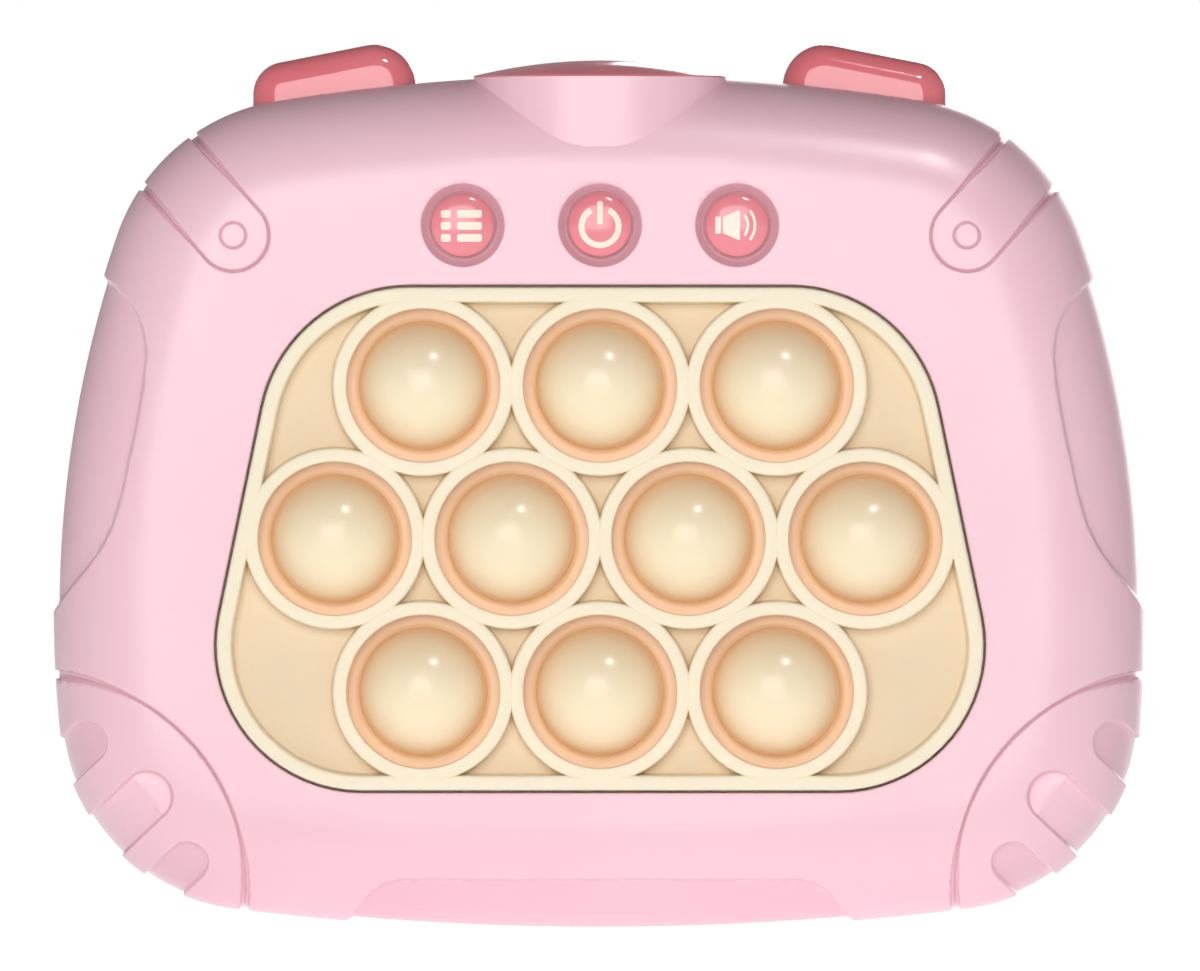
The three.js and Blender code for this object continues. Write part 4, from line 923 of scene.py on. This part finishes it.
class GAME_OT_front_shell(bpy.types.Operator):
    """Adds the front shell with its grips, grooves, finger slots, boss and openings"""

    bl_idname = "game.front_shell"
    bl_label = "Front shell"

    def execute(self, context):
        look = context.scene.game_shell
        skin = Skin(FRONT_Y, FRONT_FILLET)
        inner = [(1.3, 2.85), (1.3, 1.1), (WALL, 1.1)]
        shell = bowl("game_front_shell", skin, inner, 10)
        refine(shell, skin, front_nearness, (1.3, 0.8, 0.42))
        press(shell, skin, look, FRONT_Y + 2.3)
        join(shell, column("hood", hood_outline(0), 108, 120.5))
        flare = [(-27, 0.75), (-25.5, LIP), (-25.38, 0.43), (-25.2, 0.33), (-25, GAP), (-20, GAP)]
        dish = [(0, -28), (6.3, -28), (6.05, -25.5), (5.85, -25.35), (5.15, -24.25), (4.85, -24.15)]
        dish += [(4.8, -20), (0, -20)]
        cut(
            shell,
            column("hollow", hood_outline(WALL), 100, 118.1),
            column("crown", hood_outline(-GAP), 120.5, 130),
            stack("opening", mat_outline, flare),
            *[spun("key_hole", dish, (x, KEY_Z), 96) for x in KEYS.values()],
            *shoulder_slots(),
        )

        def lip(middle, along):
            x, y, z = middle.T
            here = (np.abs(y - FRONT_Y) <= 0.01) & (np.abs(x) <= 56) & (z > 17) & (z < 92)
            return here & (np.abs(mat_distance(x, z) - LIP) < 0.06)

        smooth(shell, 60, lip)
        # Stores the painted shade share that the shell finish darkens by.
        attribute(shell, "hollow", painted_shade_share(*points(shell).T))
        dress(shell, shell_finish(look), "game", "shell", "front_shell")
        return {"FINISHED"}


def grille_slot(rise):
    """Cutter for one round-ended slot of the speaker grille, at a height over the speaker's middle."""
    half = math.sqrt(9.2**2 - rise**2) - 0.75
    z = SPEAKER_Z + rise

    def outline(margin):
        return arc(half, z, 0.75 + margin, -90, 90, 8) + arc(-half, z, 0.75 + margin, 90, 270, 8)

    return stack("grille", outline, [(26, 0), (29.6, 0), (30.05, 0.3), (34, 0.3)])


class GAME_OT_rear_shell(bpy.types.Operator):
    """Adds the rear shell with its screw wells, battery bay and speaker grille"""

    bl_idname = "game.rear_shell"
    bl_label = "Rear shell"

    def execute(self, context):
        look = context.scene.game_shell
        skin = Skin(REAR_Y, REAR_FILLET)
        inner = [(1.6, 3.15), (1.6, 1.4), (WALL, 1.4)]
        shell = bowl("game_rear_shell", skin, inner, 12)
        refine(shell, skin, rear_nearness, (0.9, 0.55))
        press(shell, skin, look)
        well = [(0, 0), (1.6, 0), (1.6, 12), (3, 12), (3, 29.7), (3.4, 30.2), (3.4, 34), (0, 34)]
        screws = [(side * x, z) for side in (-1, 1) for x, z in SHELL_SCREWS]
        tops = 2 * (27.9, 28.4, 28.4)
        ring = [(11.8, 23.6), (13.2, 23.6), (13.2, 28), (11.8, 28)]
        join(
            shell,
            *[rod("boss", 4.3, 4, top, place) for place, top in zip(screws, tops)],
            box("bay", (-30.1, 30.1), (11.4, 28.8), (20.85, 70.15)),
            plate("ledge", cover_outline(2), 25.7, 28.8),
            rod("post", 6, 15.4, 28, (0, COVER_SCREW_Z)),
            spun("ring", ring, (0, SPEAKER_Z), 96),
        )
        seat = [(0, 17.6), (1.4, 17.6), (1.4, 26.1), (4.5, 26.1), (4.5, 30), (0, 30)]
        recess = [(34, 0.6), (30, 0.55), (29.8, 0.38), (29.5, GAP), (27.9, GAP)]
        tabs = [((-28.6, -27.5), 61), ((27.5, 28.6), 30)]
        cut(
            shell,
            stack("recess", cover_outline, recess),
            box("inside", (-28.6, 28.6), (12.9, 34), (22.35, 68.65), 0.4, 2),
            spun("seat", seat, (0, COVER_SCREW_Z), 48),
            *[spun("well", well, place, 48) for place in screws],
            *[box("tab", x, (9, 14.9), (z - 1.1, z + 1.1)) for x, z in tabs],
            *[grille_slot(row * 3.6) for row in (-2, -1, 0, 1, 2)],
            *shoulder_slots(),
        )
        smooth(shell, 50)
        dress(shell, shell_finish(look), "game", "shell", "rear_shell")
        return {"FINISHED"}


def cover_outline(margin):
    """Outline of the battery cover with its screw tab, moved outwards by a margin."""
    half, low, top, tab, tab_top = 31 + margin, 19.95 - margin, 71.05 + margin, 8 + margin, 79.55 + margin
    return rounded(
        [
            (-half, low, 3), (half, low, 3), (half, top, 3), (tab, top, 1.5),
            (tab, tab_top, 3), (-tab, tab_top, 3), (-tab, top, 1.5), (-half, top, 3),
        ]
    )


class GAME_OT_battery_cover(bpy.types.Operator):
    """Adds the battery cover with its finger ribs and sunk screw hole"""

    bl_idname = "game.battery_cover"
    bl_label = "Battery cover"

    def execute(self, context):
        look = context.scene.game_shell
        cover = plate("game_battery_cover", cover_outline(0), 28.2, REAR_Y, 0.35)
        hole = [(0, 24), (1.6, 24), (1.6, 27.7), (3, 27.7), (3, 29.7), (3.3, 30.1), (3.3, 34), (0, 34)]
        heights = (62.55 + row * 2.4 for row in (-1, 0, 1))
        ribs = [box("rib", (-8, 8), (29.5, 32), (z - 0.5, z + 0.5), 0.3, 3) for z in heights]
        join(cover, rod("boss", 4.2, 26.7, 29, (0, COVER_SCREW_Z)))
        cut(cover, spun("hole", hole, (0, COVER_SCREW_Z), 48), *ribs)
        smooth(cover, 40)
        dress(cover, shell_finish(look), "battery_lid", "shell", "battery_cover")
        return {"FINISHED"}


def mat_finish(look):
    # Compression-moulded silicone: matt skin and a little light passes into it; deep places are painted
    # darker amber as painted shade, and the pocket floors near the walls carry more painted shade.
    return silicone(
        "Silicone_compression_moulded_cream",
        (-24.9, -20.6),
        ((0.0, look.cream), (0.5, "#FFF1D3"), (0.85, "#FFE9C8"), (1.0, look.amber)),
        ("nook", "#D2B088"),
        0.006,
        Roughness=0.5,
        Subsurface_Weight=0.25,
        Subsurface_Radius=(1.0, 0.7, 0.4),
        Subsurface_Scale=2 * MM,
        Specular_IOR_Level=0.4,
    )


class GAME_OT_silicone_mat(bpy.types.Operator):
    """Adds the silicone mat: a rimmed tray with ten rings and their wells"""

    bl_idname = "game.silicone_mat"
    bl_label = "Silicone mat"

    def execute(self, context):
        look = context.scene.game_face
        inner, outer, rim = look.ring_inner / MM, look.ring_outer / MM, look.rim / MM
        floor_y = MAT_TOP_Y + look.pocket_depth / MM
        block = plate("game_silicone_mat", mat_outline(0), MAT_TOP_Y, -19.0, 0.45)
        cove = [  # how far down the pocket's wall, and its margin there
            (0.0, 0.42), (0.05, 0.3), (0.16, 0.14), (0.42, 0.0), (2.4, -0.05),
            (3.3, -0.4), (4.0, -1.2), (4.35, -2.2), (4.5, -3.6),
        ]
        deepen = look.pocket_depth / (4.5 * MM)
        levels = [(MAT_TOP_Y - 1, 0.42 - rim)] + [(MAT_TOP_Y + down * deepen, m - rim) for down, m in cove]
        cut(block, stack("pocket", mat_outline, levels))
        join(block, plate("flange", mat_outline(2.5), -22.8, -20.8))
        top = MAT_TOP_Y
        profile = [
            (inner + 0.02, -19.0), (inner + 0.02, top + 0.45), (inner + 0.14, top + 0.15),
            (inner + 0.42, top), (outer - 0.42, top), (outer - 0.14, top + 0.15), (outer, top + 0.45),
            (outer + 0.05, top + 2.6), (outer + 0.35, top + 3.45), (outer + 1.0, top + 4.05),
            (outer + 1.9, top + 4.38), (outer + 3, floor_y + 0.02), (outer + 3, -19.0),
        ]
        join(block, *[spun(f"ring_{i}", profile, place, 96) for i, place in enumerate(BUBBLES)])
        cut(block, *[rod("well", inner, -30, -18, place, 96) for place in BUBBLES])
        # The pocket's floor is cut finer, so that its shading can fall off smoothly.
        finer = 4 * [(bpy.ops.mesh.subdivide, {"number_cuts": 1})]
        pick(
            block,
            "faces",
            lambda middle, normal: (normal[:, 1] < -0.999) & (np.abs(middle[:, 1] - floor_y) < 0.06),
            (bpy.ops.mesh.quads_convert_to_tris, {}),
            *finer,
        )
        smooth(block, 40)
        # Painted shade: pocket floors and coves are darkened near the rings and the rim.
        x, y, z = points(block).T
        to_ring = np.min([np.abs(np.hypot(x - bx, z - bz) - outer) for bx, bz in BUBBLES], axis=0)
        to_wall = np.minimum(to_ring, np.abs(mat_distance(x, z) + rim))
        deep = soft_step(MAT_TOP_Y + 1.2, floor_y - 0.3, y)
        attribute(block, "nook", deep * 0.6 * np.exp(-((to_wall / 1.3) ** 1.4)))
        dress(block, mat_finish(look), "game", "silicone", "silicone_mat")
        return {"FINISHED"}


def bubble_finish(look):
    # Thin translucent silicone dome, painted pale at its tip and darker amber towards its base and the well
    # round it: painted light and shade.
    stops = ((0.0, look.amber), (0.06, look.amber), (0.18, "#F0CCA2"), (0.5, "#FCE2BC"), (0.95, "#FFEFCC"))
    return silicone(
        "Silicone_translucent_bubble",
        (-20.4, -30),
        stops,
        ("upper", "#C9AE8C"),
        0.003,
        Roughness=0.25,
        Subsurface_Weight=0.3,
        Subsurface_Radius=(1.0, 0.75, 0.5),
        Subsurface_Scale=3 * MM,
        Emission_Color=rgb("#FF9C66"),  # painted glow: a faint warm emission that brightens the bubble
        Emission_Strength=0.055,
    )


class GAME_OT_bubbles(bpy.types.Operator):
    """Adds the ten bubbles, modelled once and copied into their wells"""

    bl_idname = "game.bubbles"
    bl_label = "Bubbles"

    def execute(self, context):
        look = context.scene.game_face
        radius = look.bubble_radius / MM
        base, tip = -20.9, -30.0
        turn = np.radians(np.linspace(0, 90, 29))
        dome = [(radius * math.sin(a), base + (tip - base) * math.cos(a)) for a in turn]
        under = [((radius - 1.2) * math.sin(a), base + (tip + 1.2 - base) * math.cos(a)) for a in turn[::-2]]
        foot = [(radius + 0.08, -20.72), (radius + 0.3, -20.56), (radius + 0.7, -20.5)]
        foot += [(10.9, -20.5), (10.9, -19.4), (radius - 1.2, -19.4)]
        master = spun("bubble_master", dome + foot + under, steps=96)
        smooth(master, 60)
        # Painted shade: the upper part of each dome is painted a little darker.
        x, y, z = points(master).T
        attribute(master, "upper", 0.26 * soft_step(-0.1, 1.0, z / radius) * (np.hypot(x, z) < radius + 0.1))
        material = bubble_finish(look)
        for i, (x, z) in enumerate(BUBBLES, 1):
            bubble = copied(master, f"bubble_{i:02d}_silicone", (x, 0, z))
            dress(bubble, material, None, "silicone", f"bubble_dome_{i:02d}")
            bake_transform(bubble)
        bpy.data.objects.remove(master)
        return {"FINISHED"}


CROWN_RADII = (0, 1, 2.25, 3.2, 3.87, 4.2, 4.42, 4.5)
CROWN_FALLS = (0, 0.03, 0.19, 0.4, 0.66, 0.86, 1.08, 1.35)


def key_finish(look):
    # Coral ABS key cap, moulded in a polished cavity: glossy, so the light's edge shows across it.
    return finish(
        "ABS_polished_coral_key",
        moulded(look.key_coral, "#F8959E", 0.5, 0.001, (0.14, 0.18)),
        IOR=1.53,
    )


def icon_strokes(name):
    """Outlines of a key's icon in millimetres from the key's middle, each a list of (x, z)."""
    if name == "menu_key":
        outlines = []
        for z in (1.6, -0.1, -1.8):
            for left, right in ((-3.1, -1.7), (-0.8, 2.7)):
                corners = [(left, z - 0.55), (right, z - 0.55), (right, z + 0.55), (left, z + 0.55)]
                outlines.append(rounded([(*corner, 0.28) for corner in corners], 4))
        return outlines
    if name == "power_key":
        outer = arc(0, -0.2, 3.05, 118, 422, 48)
        inner = arc(0, -0.2, 2.2, 422, 118, 48)
        bar = rounded([(-0.4, 0.1, 0.3), (0.4, 0.1, 0.3), (0.4, 3.4, 0.3), (-0.4, 3.4, 0.3)], 4)
        return [outer + inner, bar]
    bar = rounded([(-3.1, -1.2, 0.15), (-2.3, -1.2, 0.15), (-2.3, 1.2, 0.15), (-3.1, 1.2, 0.15)], 3)
    horn = rounded([(-2.0, -1.15, 0.15), (0.4, -2.2, 0.2), (0.4, 2.2, 0.2), (-2.0, 1.15, 0.15)], 3)
    waves = [arc(-0.9, 0, r + 0.2, -38, 38, 16) + arc(-0.9, 0, r - 0.2, 38, -38, 16) for r in (2.4, 3.4)]
    return [bar, horn, *waves]


class GAME_OT_keys(bpy.types.Operator):
    """Adds the three round keys, turned once and copied, with their printed icons"""

    bl_idname = "game.keys"
    bl_label = "Keys"

    def execute(self, context):
        look = context.scene.game_controls
        top, radius = -26.2, look.key_radius / MM
        share = radius / 4.5
        foot = [(radius, -22.8), (5.8, -22.8), (5.8, -21.8), (2, -21.8), (2, -9.4), (0, -9.4)]

        def crown(lift):
            radii = (0, 0.5, 1, 1.6, 2.25, 2.8, 3.2, 3.6, 3.87, 4.05, 4.2, 4.33, 4.42, 4.5)
            falls = np.interp(radii, CROWN_RADII, CROWN_FALLS)
            return [(r * share, top + fall - lift) for r, fall in zip(radii, falls)]

        master = spun("key_master", crown(0) + foot, steps=72)
        smooth(master, 50)
        body_finish = key_finish(look)
        ink = finish(
            "Ink_pad_printed_cream",
            # Pad-printed ink: a thin matt film with a slightly uneven edge.
            moulded("#FFF1DC", look.ink, 0.4, 0.002, (0.4, 0.5)),
        )
        for name, x in KEYS.items():
            body = name.replace("_key", "")
            key = copied(master, f"{name}_cap", (x, 0, KEY_Z))
            dress(key, body_finish, body, "key", name)
            icon = None
            for k, outline in enumerate(icon_strokes(name)):
                slug = plate(f"{name}_icon_{k}", outline, -27, -24.9)
                film = spun("film", crown(0.03) + [(radius, -24.8), (0, -24.8)], steps=72)
                combine(slug, film, "INTERSECT")
                icon = join(icon, slug) if icon else slug
            icon.name = icon.data.name = f"{name}_icon"
            put(icon, points(icon) + (x, 0, KEY_Z))
            smooth(icon, 40)
            dress(icon, ink, body, "key")
        bpy.data.objects.remove(master)
        return {"FINISHED"}


class GAME_OT_shoulder_buttons(bpy.types.Operator):
    """Adds the right shoulder button and its mirrored twin"""

    bl_idname = "game.shoulder_buttons"
    bl_label = "Shoulder buttons"

    def execute(self, context):
        look = context.scene.game_controls
        outline = rounded([(26, 110.6, 4.6), (49.3, 110.6, 4.2), (49.3, 122, 4.6), (26, 126.6, 6.0)], 12)
        cap = plate("game_shoulder_right", outline, -6, 12, look.shoulder_round / MM, 10)
        tilt = math.radians(7.7)
        middle = (26 + 49.3) / 2
        reach = 50.3 - middle
        under = UPPER[1] + math.sqrt((UPPER_R - WALL) ** 2 - (50.3 - UPPER[0]) ** 2)
        seat = under - 2 * GAP + reach * math.tan(tilt)

        def tilted(piece):
            co = points(piece)
            x, z = co[:, 0].copy(), co[:, 2].copy()
            co[:, 0] = middle + x * math.cos(tilt) + z * math.sin(tilt)
            co[:, 2] = seat - x * math.sin(tilt) + z * math.cos(tilt)
            put(piece, co)
            return piece

        cut(cap, tilted(box("below", (-60, 60), (-40, 40), (-60, -1.4))))
        join(cap, tilted(box("flange", (-reach, reach), (-7.7, 13.7), (-1.4, 0), 0.3, 2)))
        stem = [(middle + 2 * math.cos(a), -4.7 + 2 * math.sin(a)) for a in np.radians(range(0, 360, 15))]
        join(cap, column("stem", stem, 107.5, seat - 0.5))
        smooth(cap, 40)
        # Tinted polycarbonate, polished: light enters it and glows under a clear glossy skin.
        material = finish(
            "Polycarbonate_polished_coral",
            moulded("#F07C84", look.shoulder_coral, 8, 0.0, (0.07, 0.1)),
            IOR=1.58,
            Subsurface_Weight=0.2,
            Subsurface_Radius=(1.0, 0.3, 0.25),
            Subsurface_Scale=3 * MM,
        )
        twin = copied(cap, "game_shoulder_left", mirror=True)
        dress(cap, material, "shoulder_right", "coral", "shoulder_button_right")
        dress(twin, material, "shoulder_left", "coral", "shoulder_button_left")
        return {"FINISHED"}


class GAME_OT_top_lens(bpy.types.Operator):
    """Adds the oval light window on the top edge"""

    bl_idname = "game.top_lens"
    bl_label = "Top lens"

    def execute(self, context):
        look = context.scene.game_controls
        rings = [[(x, y, 120.54) for x, y in hood_outline(0.1)], [(x, y, 120.62) for x, y in hood_outline(0)]]
        for share in np.linspace(0, 0.985, 16):
            left = 1 - share
            z = 120.7 + 2.19 * (1 - left**2)  # a shallow crown that stands 2.19 above its edge
            rings.append([(x * left, HOOD_Y + (y - HOOD_Y) * left, z) for x, y in hood_outline(0.03)])
        lens = loft("game_top_lens", rings)
        smooth(lens, 40)
        # Rose-tinted polycarbonate window: glossy, with a faint painted glow from its emission that lightens
        # it.
        material = finish(
            "Polycarbonate_rose_window",
            moulded("#EC8C94", look.lens_rose, 8, 0.0, (0.08, 0.12)),
            IOR=1.58,
            # Painted glow: the rose emission lightens the window.
            Emission_Color=rgb("#D86A74"),
            Emission_Strength=0.12,
        )
        dress(lens, material, "game", "coral", "top_lens")
        return {"FINISHED"}


def metal_finish(name, dark, light, rough):
    # Plated steel: grey metal with the fine turning marks of its making.
    def build(tree, place):
        grain = noise(tree, place, 0.4, 4, 0.6)
        even = add(tree, "MapRange", Value=grain, To_Min=rough - 0.06, To_Max=rough + 0.08)
        return {"Base_Color": ramp(tree, grain, (0.2, dark), (0.8, light)), "Roughness": even.outputs[0]}

    return finish(name, build, Metallic=1.0)


class GAME_OT_screws(bpy.types.Operator):
    """Adds the pan-head screws, each as long as its CAD node"""

    bl_idname = "game.screws"
    bl_label = "Screws"

    def execute(self, context):
        steel = metal_finish("Steel_zinc_plated_screw", "#A9ACB0", "#D6D8DA", 0.28)
        both_sides = [(side * x, z) for x, z in SHELL_SCREWS for side in (-1, 1)]
        places = {f"shell_screw_{i:02d}": place for i, place in enumerate(both_sides, 1)}
        places |= {f"core_screw_{i:02d}": place for i, place in enumerate(CORE_SCREWS, 1)}
        places["battery_cover_screw"] = (0, COVER_SCREW_Z)
        pitch = 0.6  # of the thread
        for name, (x, z) in places.items():
            low, high = (1000 * v.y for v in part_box(name))
            head = high - 1.8
            pan = np.radians(range(12, 91, 13))
            profile = [(0, high)] + [(2.6 * math.sin(a), head + 0.5 + 1.3 * math.cos(a)) for a in pan]
            profile += [(2.6, head), (1.25, head)]
            for k in range(int((head - low - 1.6) / pitch)):
                profile += [(1.25, head - 0.3 - pitch * k), (0.98, head - pitch - pitch * k)]
            profile += [(0.9, low + 0.9), (0, low)]
            screw = spun(f"{name}_steel", profile, steps=40)
            long, short = (-1.6, 1.6), (-0.35, 0.35)
            for width, height in ((long, short), (short, long)):
                cut(screw, box("arm", width, (high - 0.9, high + 2), height, 0.08, 2))
            put(screw, points(screw) + (x, 0, z))
            smooth(screw, 40)
            body = "battery_lid" if name == "battery_cover_screw" else "game"
            dress(screw, steel, body, "steel", name)
        return {"FINISHED"}


class GAME_OT_inside(bpy.types.Operator):
    """Gives the pieces inside the game their finishes"""

    bl_idname = "game.inside"
    bl_label = "Inside"

    def execute(self, context):
        def clouded(size, detail, *stops):
            return lambda tree, place: {"Base_Color": ramp(tree, noise(tree, place, size, detail), *stops)}

        copper = clouded(1.2, 4, (0.35, "#155236"), (0.55, "#1F6B45"), (0.75, "#2C8457"))
        sleeve = clouded(6, 2, (0.3, "#2F3338"), (0.7, "#43484E"))
        milky = moulded("#F2EEE2", "#FBF8F0", 0.4, 0.003, (0.35, 0.42))
        looks = {
            # Solder-masked glass-fibre board: satin green with faint copper tracks under it.
            "main_board": finish("Board_solder_masked_green", copper, Roughness=0.4),
            # Milky moulded polypropylene that lets a little light in.
            "bubble_plunger": finish(
                "Polypropylene_milky", milky, Subsurface_Weight=0.2, Subsurface_Scale=2 * MM
            ),
            # Printed shrink sleeve of a dry cell, plain charcoal.
            "battery_cell": finish("Dry_cell_sleeve_charcoal", sleeve, Roughness=0.3),
        }
        for key, name, dark, light, rough in (
            ("contact", "Steel_nickel_plated_contact", "#BDB9B0", "#E0DDD5", 0.22),
            ("speaker_frame", "Steel_pressed_basket", "#8F9296", "#B4B7BB", 0.35),
            ("speaker_magnet", "Ferrite_magnet_plated", "#9DA0A4", "#C2C5C8", 0.3),
        ):
            looks[key] = metal_finish(name, dark, light, rough)
        for key, name, *skin in (
            ("guide_plate", "Polypropylene_white", "#ECEAE4", "#F5F3EE", 0.4, 0.004, (0.42, 0.5)),
            ("speaker_cone", "Paper_pulp_cone_black", "#17181A", "#232528", 0.6, 0.02, (0.75, 0.85)),
            ("speaker_gasket", "Foam_gasket_charcoal", "#242427", "#303034", 0.5, 0.05, (0.85, 0.95)),
            ("black", "PVC_lead_black", "#1B1C1F", "#26272A", 0.8, 0.004, (0.4, 0.5)),
            ("red", "PVC_lead_red", "#A92329", "#BC2D33", 0.8, 0.004, (0.4, 0.5)),
        ):
            looks[key] = finish(name, moulded(*skin))
        for name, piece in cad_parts.items():
            for key, material in looks.items():
                if name.startswith(key) or name.endswith("lead_" + key):
                    for slot in piece.material_slots:
                        slot.material = material
        return {"FINISHED"}


def seen_by(tree, *rays):
    """1 for the kinds of ray that are named, else 0."""
    path = add(tree, "LightPath").outputs
    seen = path[f"Is {rays[0]} Ray"]
    for ray in rays[1:]:
        seen = add(tree, "Math", {"operation": "MAXIMUM"}, i0=seen, i1=path[f"Is {ray} Ray"]).outputs[0]
    return seen


class GAME_OT_stage(bpy.types.Operator):
    """Adds the floor, backdrop, lights and camera"""

    bl_idname = "game.stage"
    bl_label = "Stage"

    def execute(self, context):
        look = context.scene.game_stage
        scene = context.scene
        scene.view_settings.view_transform = "Standard"
        deselect()
        bpy.ops.mesh.primitive_grid_add(x_subdivisions=2, y_subdivisions=2, size=24)
        floor = named("studio_floor")
        edit(floor, (bpy.ops.mesh.subdivide, {"number_cuts": 3}))
        # Paper that lights the game softly from below and is nearly plain white to the camera.
        material = bpy.data.materials.new("Studio_paper_white")
        tree = cleared(material)
        seen = seen_by(tree, "Camera", "Glossy", "Transmission")
        most = add(tree, "Math", {"operation": "MULTIPLY"}, i0=seen, i1=0.88)
        paper = add(tree, "BsdfDiffuse", Color=rgb("#F4F2F2"))
        bounce = add(tree, "Emission", Color=rgb("#F0FAFF"), Strength=0.44)
        lit = add(tree, "AddShader", i0=paper.outputs[0], i1=bounce.outputs[0])
        glow = add(tree, "Emission", Color=(1, 1, 1, 1), Strength=1.08)
        mixed = add(tree, "MixShader", i0=most.outputs[0], i1=lit.outputs[0], i2=glow.outputs[0])
        add(tree, "OutputMaterial", Surface=mixed.outputs[0])
        floor.data.materials.append(material)

        world = bpy.data.worlds.new("Studio")
        scene.world = world
        tree = cleared(world)
        seen = seen_by(tree, "Camera", "Transmission")
        up = add(tree, "SeparateXYZ", Vector=add(tree, "TexCoord").outputs["Generated"]).outputs["Z"]
        lift = add(tree, "MapRange", Value=up, From_Min=-0.1, From_Max=0.75)
        sky = ramp(tree, lift.outputs[0], (0.0, "#F4F0F1"), (0.4, "#CFC7CB"), (1.0, "#94878E"))
        ambient = add(tree, "Background", Color=sky, Strength=0.38)
        white = add(tree, "Background", Color=(1, 1, 1, 1), Strength=1.0)
        mixed = add(tree, "MixShader", i0=seen, i1=ambient.outputs[0], i2=white.outputs[0])
        add(tree, "OutputWorld", Surface=mixed.outputs[0])

        aim = np.array((0, 0, 0.06))
        for name, place, size, power in (
            ("front_softbox", (-0.12, -1.35, 0.24), 0.95, look.front_power),
            ("highlight_lamp", (0.3, -0.62, 0.98), 0.1, look.top_power),
            ("rear_fill", (0.45, 1.35, 0.22), 0.9, 0.8 * look.front_power),
        ):
            deselect()
            bpy.ops.object.light_add(type="AREA", location=place)
            lamp = context.object
            lamp.name = name
            lamp.data.size = size
            lamp.data.energy = power
            lamp.visible_diffuse = name != "highlight_lamp"
            lamp.rotation_euler = Vector(aim - place).to_track_quat("-Z", "Y").to_euler()

        deselect()
        bpy.ops.object.camera_add(location=(0, -look.distance, look.eye_height), rotation=(math.pi / 2, 0, 0))
        camera = context.object
        camera.name = "photo_view"
        camera.data.sensor_width = 36
        camera.data.lens = 36 * look.distance / look.frame_width
        camera.data.clip_start = 0.05
        scene.camera = camera
        return {"FINISHED"}


PIECES = (
    GAME_OT_front_shell,
    GAME_OT_rear_shell,
    GAME_OT_battery_cover,
    GAME_OT_silicone_mat,
    GAME_OT_bubbles,
    GAME_OT_keys,
    GAME_OT_shoulder_buttons,
    GAME_OT_top_lens,
    GAME_OT_screws,
    GAME_OT_inside,
    GAME_OT_stage,
)
SETTINGS = {
    "game_shell": GAME_PG_shell,
    "game_face": GAME_PG_face,
    "game_controls": GAME_PG_controls,
    "game_stage": GAME_PG_stage,
}


class GAME_PT_panel(bpy.types.Panel):
    """Lists the game's pieces in the sidebar"""

    bl_label = "Push-bubble game"
    bl_space_type = "VIEW_3D"
    bl_region_type = "UI"
    bl_category = "Game"

    def draw(self, context):
        for piece in PIECES:
            self.layout.operator(piece.bl_idname)
        for name, group in SETTINGS.items():
            settings = getattr(context.scene, name)
            for key in group.__annotations__:
                self.layout.prop(settings, key)


def register():
    for group in (*SETTINGS.values(), *PIECES, GAME_PT_panel):
        bpy.utils.register_class(group)
    for name, group in SETTINGS.items():
        setattr(bpy.types.Scene, name, bpy.props.PointerProperty(type=group))


def unregister():
    for name in SETTINGS:
        delattr(bpy.types.Scene, name)
    for group in reversed((*SETTINGS.values(), *PIECES, GAME_PT_panel)):
        bpy.utils.unregister_class(group)


def main():
    """Registers the add-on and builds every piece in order."""
    register()
    for piece in PIECES:
        group, call = piece.bl_idname.split(".")
        result = getattr(getattr(bpy.ops, group), call)()
        if result != {"FINISHED"}:
            raise RuntimeError(f"{piece.bl_idname} didn't finish")


if __name__ == "__main__":
    main()
